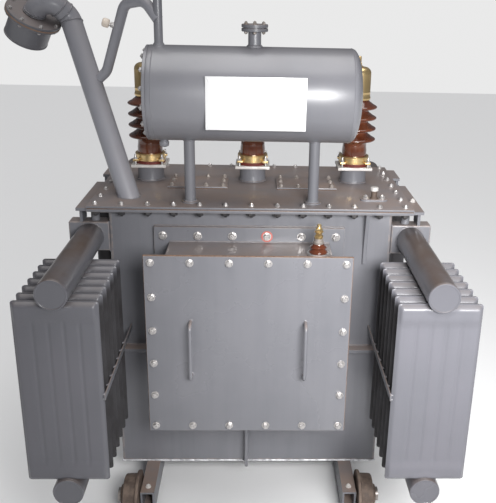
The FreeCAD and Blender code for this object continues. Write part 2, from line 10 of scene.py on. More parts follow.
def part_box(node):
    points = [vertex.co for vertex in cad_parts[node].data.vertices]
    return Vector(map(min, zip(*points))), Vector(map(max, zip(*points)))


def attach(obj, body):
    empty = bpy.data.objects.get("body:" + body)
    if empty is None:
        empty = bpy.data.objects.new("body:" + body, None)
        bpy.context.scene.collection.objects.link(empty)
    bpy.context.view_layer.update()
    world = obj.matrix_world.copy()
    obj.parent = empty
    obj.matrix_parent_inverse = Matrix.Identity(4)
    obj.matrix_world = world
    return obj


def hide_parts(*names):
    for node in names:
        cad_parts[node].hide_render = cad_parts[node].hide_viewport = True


bl_info = {
    "name": "Power Transformer",
    "version": (1, 0, 0),
    "blender": (4, 5, 0),
    "location": "3D View > Sidebar > Transformer",
    "description": "Builds the visible pieces of a power transformer round its CAD frame",
    "category": "Object",
}

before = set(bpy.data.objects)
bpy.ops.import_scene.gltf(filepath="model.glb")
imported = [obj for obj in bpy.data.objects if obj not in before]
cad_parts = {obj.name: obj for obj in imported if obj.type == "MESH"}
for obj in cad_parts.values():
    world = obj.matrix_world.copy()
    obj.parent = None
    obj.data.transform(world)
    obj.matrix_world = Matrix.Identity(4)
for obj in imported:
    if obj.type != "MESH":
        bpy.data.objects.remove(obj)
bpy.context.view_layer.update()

BODY = "transformer"
CORNERS = ("front_left", "front_right", "rear_left", "rear_right")
UP = Vector((0, 0, 1))
FRONT = Vector((0, -1, 0))
LEFT = Vector((-1, 0, 0))
BUMP_DEPTH = 0.0005
NOISE_ROUGHNESS = 0.55
LARGEST_ROUNDING = 0.42
WORN_SHARE = 0.2


# ------------------------------------------------------------------ settings


def length(name, description, default):
    """A size in metres for a settings panel."""
    return bpy.props.FloatProperty(
        name=name, description=description, default=default, min=0.0, precision=4,
        subtype="DISTANCE", unit="LENGTH",
    )


def share(name, description, default):
    """A number from nothing to all."""
    return bpy.props.FloatProperty(
        name=name, description=description, default=default, min=0.0, max=1.0, subtype="FACTOR"
    )


def colour(name, description, default):
    """A linear colour."""
    return bpy.props.FloatVectorProperty(
        name=name, description=description, default=default, size=3, min=0.0, max=1.0,
        subtype="COLOR",
    )


class PaintSettings(bpy.types.PropertyGroup):
    """Colours of the painted steel."""

    grey: colour("Grey", "Enamel on the tank and the conservator", (0.166, 0.166, 0.182))
    grey_deep: colour("Deep grey", "Where the enamel is thick or dull", (0.122, 0.125, 0.140))
    radiator: colour("Radiator grey", "Enamel on the radiators", (0.150, 0.148, 0.168))
    # Dust together with a painted brown reflection on surfaces that face up.
    dust_and_painted_light: colour("Dust And Painted Light", "Dust And Painted Light on surfaces that face up", (0.225, 0.165, 0.135))
    edge: colour("Edge", "Rubbed edges where primer shows", (0.36, 0.29, 0.25))
    # Painted shade in the gaps between the radiator panels.
    painted_shade: colour("Painted Shade", "Dark dirt between the radiator panels", (0.013, 0.011, 0.012))
    dust_and_painted_light_share: share("Dust And Painted Light share", "How much dust lies on surfaces that face up", 0.75)
    gloss: share("Roughness", "Roughness of clean enamel", 0.34)


class MetalSettings(bpy.types.PropertyGroup):
    """Colours of bare metal, porcelain and rubber."""

    zinc: colour("Zinc", "Plated bolts and nuts", (0.56, 0.54, 0.53))
    brass: colour("Brass", "Caps and clamps of the bushings", (0.78, 0.58, 0.33))
    brass_dull: colour("Dull brass", "Brass where it has tarnished", (0.42, 0.24, 0.11))
    porcelain: colour("Porcelain", "Brown glaze of the bushings", (0.085, 0.022, 0.010))
    porcelain_light: colour("Light glaze", "Where the glaze is thin", (0.17, 0.055, 0.024))
    iron: colour("Iron", "Cast wheels", (0.085, 0.060, 0.048))
    iron_dust: colour("Iron dust", "Dry dust on the wheels", (0.20, 0.150, 0.120))
    cork: colour("Cork", "Gaskets", (0.20, 0.115, 0.070))
    sign: colour("Sign", "White enamel of the blank sign", (0.80, 0.80, 0.785))
    knob: colour("Knob", "Cream knob of the vent valve", (0.80, 0.70, 0.60))


class SheetSettings(bpy.types.PropertyGroup):
    """Edges, welds and pressings of the sheet metal."""

    edge: length("Edge", "Rounding of a plate's edges", 0.0016)
    corner: length("Tank corner", "Rounding of the tank's upright corners", 0.012)
    weld: length("Weld", "Radius of a weld bead", 0.0034)
    gasket: length("Gasket", "Thickness of the cork gaskets", 0.003)
    flute_depth: length("Flute depth", "Half the thickness of a radiator panel's flutes", 0.0115)
    gallery_depth: length("Gallery depth", "Half the thickness at the top and foot of a panel", 0.019)
    panel_border: length("Panel border", "Width of a radiator panel's welded seam", 0.006)
    seam: length("Seam", "Half the thickness of a panel's seam", 0.0022)


class BoltSettings(bpy.types.PropertyGroup):
    """Bolts and nuts."""

    head: length("Head", "Width of a cover bolt's head", 0.0200)
    head_height: length("Head height", "Height of a cover bolt's head", 0.0105)
    washer: length("Washer", "Width of a cover bolt's washer", 0.0285)
    washer_height: length("Washer height", "Thickness of a washer", 0.0026)
    stud: length("Stud", "Width of the thread that stands out of a nut", 0.0105)
    stud_height: length("Stud height", "How far a thread stands out of its nut", 0.004)
    seed: bpy.props.IntProperty(
        name="Seed", description="Picks how the heads are turned", default=7, min=0
    )


class StageSettings(bpy.types.PropertyGroup):
    """Floor, lights and camera."""

    floor: colour("Floor", "Pale floor", (0.82, 0.82, 0.82))
    key: bpy.props.FloatProperty(
        name="Key", description="Strength of the wide light at the right of the camera",
        default=34.0, min=0.0, unit="POWER",
    )
    overhead: bpy.props.FloatProperty(
        name="Overhead", description="Strength of the even light from above", default=2.1, min=0.0
    )
    sky: bpy.props.FloatProperty(
        name="Sky", description="Strength of the even light from all round", default=0.14, min=0.0
    )
    camera_place: bpy.props.FloatVectorProperty(
        name="Camera place", description="Where the camera stands",
        default=(0.0189, -3.2377, 2.2421), subtype="TRANSLATION", unit="LENGTH",
    )
    camera_turn: bpy.props.FloatVectorProperty(
        name="Camera turn", description="How the camera is turned",
        default=(1.2263868, -0.0234878, -0.0335761), subtype="EULER", unit="ROTATION",
    )
    lens: bpy.props.FloatProperty(
        name="Lens", description="Focal length on a 36 mm sensor", default=52.93, min=10.0,
        unit="CAMERA",
    )
    shift: bpy.props.FloatProperty(
        name="Shift", description="Sideways shift of the view", default=-0.0736
    )


# ------------------------------------------------------------------ mesh tools


def plate(bm, low, high, edge, steps=2):
    """Add a box with rounded edges between two corners."""
    low, high = Vector(low), Vector(high)
    size = high - low
    made = bmesh.ops.create_cube(bm, size=1.0)["verts"]
    for vert in made:
        vert.co = low + Vector(((vert.co[i] + 0.5) * size[i] for i in range(3)))
    corner = min(edge, min(size) * LARGEST_ROUNDING)
    edges = list({edge for vert in made for edge in vert.link_edges})
    worn = bm.faces.layers.float.get("edge") or bm.faces.layers.float.new("edge")
    rounded = bmesh.ops.bevel(
        bm, geom=edges, offset=corner, segments=steps, profile=0.6, affect="EDGES"
    )["faces"]
    smallest = min(size[0] * size[1], size[1] * size[2], size[0] * size[2])
    for face in rounded:
        if face.calc_area() < WORN_SHARE * smallest:
            face[worn] = 1.0


def turned(bm, profile, place, steps=48):
    """Add a solid of revolution: (radius, height) pairs about the local Z of a matrix."""
    rings = []
    for radius, height in profile:
        if radius < 1e-6:
            rings.append([bm.verts.new(place @ Vector((0, 0, height)))])
            continue
        ring = []
        for step in range(steps):
            angle = 2 * math.pi * step / steps
            point = Vector((radius * math.cos(angle), radius * math.sin(angle), height))
            ring.append(bm.verts.new(place @ point))
        rings.append(ring)
    for first, second in zip(rings, rings[1:]):
        for step in range(steps):
            following = (step + 1) % steps
            if len(first) == 1:
                corners = (first[0], second[following], second[step])
            elif len(second) == 1:
                corners = (first[step], first[following], second[0])
            else:
                corners = (first[step], first[following], second[following], second[step])
            bm.faces.new(corners).smooth = True


def swept(bm, points, radius, steps=24):
    """Add a round bar along points, closed at both ends."""
    count = len(points)
    ahead = (points[1] - points[0]).normalized()
    side = ahead.orthogonal().normalized()
    rings = []
    for index, point in enumerate(points):
        before = points[max(index - 1, 0)]
        after = points[min(index + 1, count - 1)]
        direction = (after - before).normalized()
        side = (side - direction * side.dot(direction)).normalized()
        other = direction.cross(side)
        ring = []
        for step in range(steps):
            angle = 2 * math.pi * step / steps
            ring.append(bm.verts.new(point + radius * (side * math.cos(angle) + other * math.sin(angle))))
        rings.append(ring)
    for first, second in zip(rings, rings[1:]):
        for step in range(steps):
            following = (step + 1) % steps
            corners = (first[step], first[following], second[following], second[step])
            bm.faces.new(corners).smooth = True
    for ring in (list(reversed(rings[0])), rings[-1]):
        bm.faces.new(ring)


def rounded_route(points, bend, steps=8):
    """Points along straight runs joined by arcs of one radius."""
    route = [points[0]]
    for before, corner, after in zip(points, points[1:], points[2:]):
        back = (before - corner).normalized()
        onward = (after - corner).normalized()
        half = back.angle(onward) / 2
        setback = bend / math.tan(half)
        middle = corner + (back + onward).normalized() * (bend / math.sin(half))
        first = corner + back * setback - middle
        last = corner + onward * setback - middle
        for step in range(steps + 1):
            route.append(middle + bend * first.normalized().slerp(last.normalized(), step / steps))
    route.append(points[-1])
    return route


def facing(place, direction):
    """A matrix at a place whose Z runs along a direction."""
    turn = Vector(direction).to_track_quat("Z", "Y").to_matrix().to_4x4()
    return Matrix.Translation(Vector(place)) @ turn


def centre_of(node):
    """The middle of a CAD node's box."""
    low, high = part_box(node)
    return (low + high) / 2


def mirrored(point, corner):
    """A point given for the front right corner, moved to another corner."""
    across = -1 if "left" in corner else 1
    along = -1 if "rear" in corner else 1
    return Vector((point[0] * across, point[1] * along, point[2]))


def mesh_of(bm, name, angle=38.0):
    """A finished mesh with its faces outwards and its sharp edges marked."""
    bmesh.ops.recalc_face_normals(bm, faces=bm.faces[:])
    mesh = bpy.data.meshes.new(name)
    bm.to_mesh(mesh)
    bm.free()
    mesh.set_sharp_from_angle(angle=math.radians(angle))
    return mesh


def piece(name, mesh, materials, replaced=(), body=BODY):
    """Place a finished mesh on its body with its materials."""
    mesh.name = name
    obj = bpy.data.objects.new(name, mesh)
    bpy.context.scene.collection.objects.link(obj)
    if materials:
        mesh.materials.clear()
        for material in materials:
            mesh.materials.append(material)
    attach(obj, body)
    if replaced:
        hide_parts(*replaced)
    return obj


def finish_node(name, *materials):
    """Give a CAD node its finish."""
    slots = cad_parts[name].data.materials
    slots.clear()
    for material in materials:
        slots.append(material)


# ------------------------------------------------------------------ node trees for repeats


def tree_sockets(tree):
    """Identifiers of a tree's inputs by name."""
    return {
        item.name: item.identifier
        for item in tree.interface.items_tree
        if item.item_type == "SOCKET" and item.in_out == "INPUT"
    }


def new_tree(name, inputs):
    """A geometry node tree with named inputs; returns it with its input and output nodes."""
    tree = bpy.data.node_groups.new(name, "GeometryNodeTree")
    tree.interface.new_socket("Geometry", in_out="INPUT", socket_type="NodeSocketGeometry")
    for label, kind, default in inputs:
        socket = tree.interface.new_socket(label, in_out="INPUT", socket_type="NodeSocket" + kind)
        if default is not None:
            socket.default_value = default
    tree.interface.new_socket("Geometry", in_out="OUTPUT", socket_type="NodeSocketGeometry")
    return tree, tree.nodes.new("NodeGroupInput"), tree.nodes.new("NodeGroupOutput")


def maths(tree, operation, first, second):
    """A maths node over two sockets or numbers."""
    made = tree.nodes.new("ShaderNodeMath")
    made.operation = operation
    for socket, value in zip(made.inputs, (first, second)):
        if isinstance(value, (int, float)):
            socket.default_value = value
        else:
            tree.links.new(value, socket)
    return made.outputs[0]


def realised(tree, geometry, material, output):
    """End a tree in plain geometry with a material."""
    real = tree.nodes.new("GeometryNodeRealizeInstances")
    paint = tree.nodes.new("GeometryNodeSetMaterial")
    tree.links.new(geometry, real.inputs["Geometry"])
    tree.links.new(real.outputs["Geometry"], paint.inputs["Geometry"])
    tree.links.new(material, paint.inputs["Material"])
    tree.links.new(paint.outputs["Geometry"], output.inputs["Geometry"])


def cone(tree, sides, low, high, depth, lift):
    """A short cone or cylinder standing at a height above the seat."""
    made = tree.nodes.new("GeometryNodeMeshCone")
    made.inputs["Vertices"].default_value = sides
    tree.links.new(low, made.inputs["Radius Bottom"])
    tree.links.new(high, made.inputs["Radius Top"])
    tree.links.new(depth, made.inputs["Depth"])
    if lift is None:
        return made.outputs["Mesh"]
    move = tree.nodes.new("GeometryNodeTransform")
    offset = tree.nodes.new("ShaderNodeCombineXYZ")
    tree.links.new(lift, offset.inputs["Z"])
    tree.links.new(made.outputs["Mesh"], move.inputs["Geometry"])
    tree.links.new(offset.outputs[0], move.inputs["Translation"])
    return move.outputs["Geometry"]


def bolt_tree():
    """A hexagon bolt or nut with its washer and thread on every point, turned to its facing."""
    tree, source, output = new_tree(
        "bolt_field",
        (
            ("Head", "Float", 0.02), ("Head Height", "Float", 0.01), ("Washer", "Float", 0.028),
            ("Washer Height", "Float", 0.0025), ("Stud", "Float", 0.01),
            ("Stud Height", "Float", 0.004), ("Seed", "Int", 7), ("Material", "Material", None),
        ),
    )
    given = source.outputs
    washer = maths(tree, "MULTIPLY", given["Washer"], 0.5)
    head = maths(tree, "MULTIPLY", given["Head"], 0.5774)
    crown = maths(tree, "MULTIPLY", head, 0.80)
    stud = maths(tree, "MULTIPLY", given["Stud"], 0.5)
    tip = maths(tree, "MULTIPLY", stud, 0.75)
    shank = maths(tree, "MULTIPLY", given["Head Height"], 0.78)
    slope = maths(tree, "MULTIPLY", given["Head Height"], 0.22)
    slope_foot = maths(tree, "ADD", given["Washer Height"], shank)
    head_top = maths(tree, "ADD", given["Washer Height"], given["Head Height"])
    join = tree.nodes.new("GeometryNodeJoinGeometry")
    for part in (
        cone(tree, 14, washer, washer, given["Washer Height"], None),
        cone(tree, 6, head, head, shank, given["Washer Height"]),
        cone(tree, 6, head, crown, slope, slope_foot),
        cone(tree, 8, stud, tip, given["Stud Height"], head_top),
    ):
        tree.links.new(part, join.inputs[0])
    points = tree.nodes.new("GeometryNodeMeshToPoints")
    tree.links.new(given["Geometry"], points.inputs["Mesh"])
    direction = tree.nodes.new("GeometryNodeInputNamedAttribute")
    direction.data_type = "FLOAT_VECTOR"
    direction.inputs["Name"].default_value = "facing"
    align = tree.nodes.new("FunctionNodeAlignRotationToVector")
    align.axis = "Z"
    tree.links.new(direction.outputs["Attribute"], align.inputs["Vector"])
    spin = tree.nodes.new("FunctionNodeRandomValue")
    spin.data_type = "FLOAT"
    spin.inputs["Max"].default_value = 2 * math.pi
    tree.links.new(given["Seed"], spin.inputs["Seed"])
    about = tree.nodes.new("FunctionNodeAxisAngleToRotation")
    tree.links.new(spin.outputs[1], about.inputs["Angle"])
    turn = tree.nodes.new("FunctionNodeRotateRotation")
    turn.rotation_space = "LOCAL"
    tree.links.new(align.outputs[0], turn.inputs[0])
    tree.links.new(about.outputs[0], turn.inputs[1])
    place = tree.nodes.new("GeometryNodeInstanceOnPoints")
    tree.links.new(points.outputs["Points"], place.inputs["Points"])
    tree.links.new(join.outputs[0], place.inputs["Instance"])
    tree.links.new(turn.outputs[0], place.inputs["Rotation"])
    realised(tree, place.outputs["Instances"], given["Material"], output)
    return tree


def weld_tree():
    """A rippled weld bead along every edge of a wire."""
    tree, source, output = new_tree(
        "weld_bead",
        (
            ("Radius", "Float", 0.0035), ("Ripple", "Float", 0.22), ("Step", "Float", 0.006),
            ("Seed", "Float", 3.0), ("Material", "Material", None),
        ),
    )
    given = source.outputs
    line = tree.nodes.new("GeometryNodeMeshToCurve")
    tree.links.new(given["Geometry"], line.inputs["Mesh"])
    even = tree.nodes.new("GeometryNodeResampleCurve")
    even.mode = "LENGTH"
    tree.links.new(line.outputs["Curve"], even.inputs["Curve"])
    tree.links.new(given["Step"], even.inputs["Length"])
    noise = tree.nodes.new("ShaderNodeTexNoise")
    noise.noise_dimensions = "4D"
    noise.inputs["Scale"].default_value = 95.0
    noise.inputs["Detail"].default_value = 1.0
    tree.links.new(given["Seed"], noise.inputs["W"])
    centred = maths(tree, "SUBTRACT", noise.outputs["Fac"], 0.5)
    swing = maths(tree, "MULTIPLY", centred, given["Ripple"])
    swing = maths(tree, "MULTIPLY", swing, 4.0)
    wide = maths(tree, "ADD", swing, 1.0)
    radius = maths(tree, "MULTIPLY", wide, given["Radius"])
    ring = tree.nodes.new("GeometryNodeCurvePrimitiveCircle")
    ring.inputs["Resolution"].default_value = 7
    ring.inputs["Radius"].default_value = 1.0
    sweep = tree.nodes.new("GeometryNodeCurveToMesh")
    sweep.inputs["Fill Caps"].default_value = True
    tree.links.new(even.outputs["Curve"], sweep.inputs["Curve"])
    tree.links.new(radius, sweep.inputs["Scale"])
    tree.links.new(ring.outputs["Curve"], sweep.inputs["Profile Curve"])
    smooth = tree.nodes.new("GeometryNodeSetShadeSmooth")
    tree.links.new(sweep.outputs["Mesh"], smooth.inputs["Geometry"])
    realised(tree, smooth.outputs["Geometry"], given["Material"], output)
    return tree


def row_tree():
    """The same piece repeated in a straight row."""
    tree, source, output = new_tree(
        "row_of_panels",
        (("Count", "Int", 7), ("Step", "Vector", None), ("Material", "Material", None)),
    )
    given = source.outputs
    line = tree.nodes.new("GeometryNodeMeshLine")
    line.mode = "OFFSET"
    tree.links.new(given["Count"], line.inputs["Count"])
    tree.links.new(given["Step"], line.inputs["Offset"])
    place = tree.nodes.new("GeometryNodeInstanceOnPoints")
    tree.links.new(line.outputs["Mesh"], place.inputs["Points"])
    tree.links.new(given["Geometry"], place.inputs["Instance"])
    realised(tree, place.outputs["Instances"], given["Material"], output)
    return tree


def by_nodes(tree_maker, mesh, values):
    """Run a node tree over a mesh and return its plain result."""
    name = tree_maker.__name__
    tree = bpy.data.node_groups.get(name)
    if tree is None:
        tree = tree_maker()
        tree.name = name
    carrier = bpy.data.objects.new("carrier", mesh)
    bpy.context.scene.collection.objects.link(carrier)
    modifier = carrier.modifiers.new("repeat", "NODES")
    modifier.node_group = tree
    sockets = tree_sockets(tree)
    for label, value in values.items():
        modifier[sockets[label]] = value
    evaluated = carrier.evaluated_get(bpy.context.evaluated_depsgraph_get())
    made = bpy.data.meshes.new_from_object(evaluated)
    carrier.modifiers.remove(modifier)
    bpy.data.objects.remove(carrier)
    return made


def bolts(name, places, material, scale=1.0, tail=True, body=BODY):
    """Bolts at (point, direction) pairs, all of one size."""
    made = bpy.context.scene.transformer_bolts
    mesh = bpy.data.meshes.new(name)
    mesh.from_pydata([tuple(point) for point, _ in places], [], [])
    layer = mesh.attributes.new("facing", "FLOAT_VECTOR", "POINT")
    layer.data.foreach_set("vector", [x for _, direction in places for x in direction])
    values = {
        "Head": made.head * scale, "Head Height": made.head_height * scale,
        "Washer": made.washer * scale, "Washer Height": made.washer_height * scale,
        "Stud": made.stud * scale, "Stud Height": made.stud_height * scale if tail else 0.0004,
        "Seed": made.seed, "Material": material,
    }
    return piece(name, by_nodes(bolt_tree, mesh, values), (), body=body)


def welds(name, lines, material, scale=1.0, ripple=0.22):
    """Weld beads along lists of points."""
    mesh = bpy.data.meshes.new(name)
    points, edges = [], []
    for line in lines:
        start = len(points)
        points += [tuple(point) for point in line]
        edges += [(start + i, start + i + 1) for i in range(len(line) - 1)]
    mesh.from_pydata(points, edges, [])
    radius = bpy.context.scene.transformer_sheet.weld * scale
    values = {"Radius": radius, "Ripple": ripple, "Step": 0.006, "Seed": 3.0, "Material": material}
    return piece(name, by_nodes(weld_tree, mesh, values), ())


def ring_points(centre, radius, normal, count=24):
    """Points round a closed ring."""
    place = facing(centre, normal)
    turns = [2 * math.pi * step / count for step in range(count + 1)]
    return [place @ Vector((radius * math.cos(turn), radius * math.sin(turn), 0)) for turn in turns]


def upright_ring(low, high, depth):
    """Points round a closed rectangle that faces the front."""
    corners = ((low.x, low.z), (high.x, low.z), (high.x, high.z), (low.x, high.z), (low.x, low.z))
    return [Vector((x, depth, z)) for x, z in corners]


# ------------------------------------------------------------------ finishes


class Wiring:
    """Short words for placing and joining shader nodes in one tree."""

    def __init__(self, tree):
        self.tree = tree

    def add(self, kind, **settings):
        made = self.tree.nodes.new("ShaderNode" + kind)
        for setting, value in settings.items():
            setattr(made, setting, value)
        return made

    def put(self, value, socket):
        if isinstance(value, bpy.types.NodeSocket):
            self.tree.links.new(value, socket)
        else:
            socket.default_value = value

    def maths(self, operation, first, second=0.0, clamp=False):
        made = self.add("Math", operation=operation, use_clamp=clamp)
        self.put(first, made.inputs[0])
        self.put(second, made.inputs[1])
        return made.outputs[0]

    def span(self, value, low, high, to_low=0.0, to_high=1.0):
        made = self.add("MapRange", interpolation_type="SMOOTHSTEP")
        for socket, amount in zip(made.inputs, (value, low, high, to_low, to_high)):
            self.put(amount, socket)
        return made.outputs["Result"]

    def mix(self, amount, first, second):
        made = self.add("Mix", data_type="RGBA")
        self.put(amount, made.inputs["Factor"])
        self.put(first, made.inputs["A"])
        self.put(second, made.inputs["B"])
        return made.outputs["Result"]

    def noise(self, scale, detail=3.0, stretch=None):
        place = self.add("TexCoord").outputs["Object"]
        if stretch:
            mapping = self.add("Mapping")
            mapping.inputs["Scale"].default_value = stretch
            self.tree.links.new(place, mapping.inputs["Vector"])
            place = mapping.outputs["Vector"]
        made = self.add("TexNoise")
        self.tree.links.new(place, made.inputs["Vector"])
        self.put(scale, made.inputs["Scale"])
        self.put(detail, made.inputs["Detail"])
        self.put(NOISE_ROUGHNESS, made.inputs["Roughness"])
        return made.outputs["Fac"]


def shader_group(name, inputs, outputs):
    """An empty shader group with named inputs and outputs, and its wiring."""
    tree = bpy.data.node_groups.new(name, "ShaderNodeTree")
    for label, kind, default in inputs:
        socket = tree.interface.new_socket(label, in_out="INPUT", socket_type="NodeSocket" + kind)
        socket.default_value = default
    for label, kind in outputs:
        tree.interface.new_socket(label, in_out="OUTPUT", socket_type="NodeSocket" + kind)
    wiring = Wiring(tree)
    return tree, wiring, tree.nodes.new("NodeGroupInput").outputs, tree.nodes.new("NodeGroupOutput").inputs


SKIN = (("Colour", "Color"), ("Roughness", "Float"), ("Height", "Float"))
WHITE = (1.0, 1.0, 1.0, 1.0)


def painted_skin():
    """Enamel on steel: uneven tone, runs, settled dust with a painted brown reflection on surfaces that face up, rubbed
    edges, painted shade between radiator panels, and orange peel.
    """
    tree, wire, given, result = shader_group(
        "painted_skin",
        (
            ("Colour", "Color", WHITE), ("Deep Colour", "Color", WHITE),
            ("Dust And Painted Light Colour", "Color", WHITE), ("Edge Colour", "Color", WHITE),
            ("Dust And Painted Light", "Float", 0.7), ("Streaks", "Float", 0.25), ("Edge Wear", "Float", 0.5),
            ("Roughness", "Float", 0.35),
            ("Painted Shade", "Float", 0.0), ("Grime Colour", "Color", WHITE),
        ),
        SKIN,
    )
    normal = wire.add("SeparateXYZ")
    tree.links.new(wire.add("NewGeometry").outputs["Normal"], normal.inputs[0])
    upward = normal.outputs["Z"]
    cloud = wire.span(wire.noise(2.6, 5.0), 0.35, 0.65)
    runs = wire.span(wire.noise(1.0, 4.0, (26.0, 26.0, 1.6)), 0.42, 0.70)
    steep = wire.span(wire.maths("ABSOLUTE", upward), 0.5, 0.1)
    tone = wire.maths("MULTIPLY", wire.maths("MULTIPLY", runs, steep), given["Streaks"])
    tone = wire.maths("ADD", wire.maths("MULTIPLY", cloud, 0.45), tone, clamp=True)
    colour_out = wire.mix(tone, given["Colour"], given["Deep Colour"])
    # Dust on surfaces that face up, mixed with painted light: a painted brown reflection on tops, and painted shade
    # where the dust colour is dark.
    patches = wire.span(wire.noise(7.0, 6.0), 0.25, 0.72, 0.45, 1.0)
    lying = wire.maths("MULTIPLY", wire.span(upward, 0.12, 0.95), patches)
    lying = wire.maths("MULTIPLY", lying, given["Dust And Painted Light"], clamp=True)
    colour_out = wire.mix(lying, colour_out, given["Dust And Painted Light Colour"])
    worn = wire.add("Attribute", attribute_name="edge").outputs["Fac"]
    chips = wire.span(wire.noise(46.0, 4.0), 0.38, 0.62, 0.25, 1.0)
    worn = wire.maths("MULTIPLY", wire.maths("MULTIPLY", worn, chips), given["Edge Wear"])
    colour_out = wire.mix(worn, colour_out, given["Edge Colour"])
    # Painted shade in the gaps between radiator panels, which are also made a little rougher.
    colour_out = wire.mix(given["Painted Shade"], colour_out, given["Grime Colour"])
    specks = wire.span(wire.noise(210.0, 2.0), 0.66, 0.74)
    colour_out = wire.mix(wire.maths("MULTIPLY", specks, 0.16), colour_out, given["Dust And Painted Light Colour"])
    rough = wire.maths("ADD", given["Roughness"], wire.maths("MULTIPLY", lying, 0.20))
    rough = wire.maths("ADD", rough, wire.maths("MULTIPLY", cloud, 0.07))
    rough = wire.maths("ADD", rough, wire.maths("MULTIPLY", given["Painted Shade"], 0.45), clamp=True)
    peel = wire.noise(320.0, 2.0)
    waves = wire.maths("MULTIPLY", wire.noise(14.0, 2.0), 0.9)
    wire.put(colour_out, result["Colour"])
    wire.put(rough, result["Roughness"])
    wire.put(wire.maths("ADD", peel, waves), result["Height"])
    return tree


def bare_skin():
    """Metal, glaze or rubber: two tones in patches with fine grain."""
    tree, wire, given, result = shader_group(
        "bare_skin",
        (
            ("Colour", "Color", WHITE), ("Second Colour", "Color", WHITE),
            ("Patch Scale", "Float", 18.0), ("Patches", "Float", 0.6), ("Grain Scale", "Float", 260.0),
            ("Roughness", "Float", 0.3), ("Roughness Spread", "Float", 0.2),
        ),
        SKIN,
    )
    patch = wire.span(wire.noise(given["Patch Scale"], 5.0), 0.34, 0.68)
    amount = wire.maths("MULTIPLY", patch, given["Patches"], clamp=True)
    grain = wire.noise(given["Grain Scale"], 3.0)
    fine = wire.maths("MULTIPLY", wire.maths("SUBTRACT", grain, 0.5), 0.35)
    amount = wire.maths("ADD", amount, fine, clamp=True)
    wire.put(wire.mix(amount, given["Colour"], given["Second Colour"]), result["Colour"])
    spread = wire.maths("MULTIPLY", patch, given["Roughness Spread"])
    wire.put(wire.maths("ADD", given["Roughness"], spread), result["Roughness"])
    wire.put(grain, result["Height"])
    return tree


def material(name, group_maker, values, bump, **shader):
    """A material whose shader takes colour, roughness and bump from a skin group."""
    made = bpy.data.materials.get(name)
    if made:
        return made
    made = bpy.data.materials.new(name)
    made.use_nodes = True
    tree = made.node_tree
    principled = next(node for node in tree.nodes if node.type == "BSDF_PRINCIPLED")
    skin = tree.nodes.new("ShaderNodeGroup")
    skin.node_tree = bpy.data.node_groups.get(group_maker.__name__) or group_maker()
    for label, value in values.items():
        filled = tuple(value) + (1.0,) if hasattr(value, "__len__") else value
        skin.inputs[label].default_value = filled
    bumps = tree.nodes.new("ShaderNodeBump")
    bumps.inputs["Strength"].default_value = bump
    bumps.inputs["Distance"].default_value = BUMP_DEPTH
    tree.links.new(skin.outputs["Colour"], principled.inputs["Base Color"])
    tree.links.new(skin.outputs["Roughness"], principled.inputs["Roughness"])
    tree.links.new(skin.outputs["Height"], bumps.inputs["Height"])
    tree.links.new(bumps.outputs["Normal"], principled.inputs["Normal"])
    for label, value in shader.items():
        principled.inputs[label.replace("_", " ")].default_value = value
    made.diffuse_color = tuple(values["Colour"]) + (1.0,)
    return made


def enamel(
    name, colour_share=1.0, dust_and_painted_light=None, streaks=0.3, edge_wear=0.35, radiator=False, gloss=0.0,
    deep=None, dust_and_painted_light_colour=None, coat=0.12, coat_spread=0.14,
):
    """Grey enamel with its dust and painted light, for one part of the transformer."""
    paint = bpy.context.scene.transformer_paint
    first = paint.radiator if radiator else paint.grey
    values = {
        "Colour": [x * colour_share for x in first],
        "Deep Colour": deep or [x * colour_share for x in paint.grey_deep],
        "Dust And Painted Light Colour": dust_and_painted_light_colour or paint.dust_and_painted_light,
        "Edge Colour": paint.edge,
        "Dust And Painted Light": paint.dust_and_painted_light_share if dust_and_painted_light is None else dust_and_painted_light,
        "Streaks": streaks,
        "Edge Wear": edge_wear,
        "Roughness": paint.gloss + gloss,
        "Grime Colour": paint.painted_shade,
    }
    return material(name, painted_skin, values, 0.22, Coat_Weight=coat, Coat_Roughness=coat_spread)


def tank_paint():
    # The dust on the lid also paints a brown reflection on it.
    return enamel("tank_enamel")


def shell_paint():
    return enamel("shell_enamel", 1.22, dust_and_painted_light=0.1, streaks=0.12, gloss=-0.02, coat=0.85, coat_spread=0.3)


def box_paint():
    return enamel("box_enamel", 0.97, dust_and_painted_light=0.7, streaks=0.2, gloss=-0.08, coat=0.3)


def flange_paint():
    return enamel("flange_enamel", 1.2, dust_and_painted_light=0.3, streaks=0.3, edge_wear=0.9, deep=[0.235, 0.185, 0.165])


def stack_mask():
    """Painted shade between a radiator's panels: how deep a surface lies in the stack, behind the outer panel and below
    its top.
    """
    tree, wire, given, result = shader_group(
        "stack_mask", (("Outer Panel", "Float", 0.9), ("Top", "Float", 1.2)), (("Painted Shade", "Float"),)
    )
    place = wire.add("SeparateXYZ")
    tree.links.new(wire.add("TexCoord").outputs["Object"], place.inputs[0])
    along = wire.maths("ABSOLUTE", place.outputs["Y"])
    behind = wire.span(wire.maths("SUBTRACT", given["Outer Panel"], along), 0.004, 0.016)
    below = wire.span(wire.maths("SUBTRACT", given["Top"], place.outputs["Z"]), 0.004, 0.050)
    normal = wire.add("SeparateXYZ")
    tree.links.new(wire.add("NewGeometry").outputs["Normal"], normal.inputs[0])
    rim = wire.span(wire.maths("ABSOLUTE", normal.outputs["X"]), 0.82, 0.98)
    open_side = wire.maths("SUBTRACT", 1.0, wire.maths("MULTIPLY", rim, 0.12))
    spotty = wire.span(wire.noise(9.0, 4.0), 0.3, 0.7, 0.84, 0.98)
    deep = wire.maths("MULTIPLY", wire.maths("MULTIPLY", behind, below), spotty)
    wire.put(wire.maths("MULTIPLY", deep, open_side), result["Painted Shade"])
    return tree


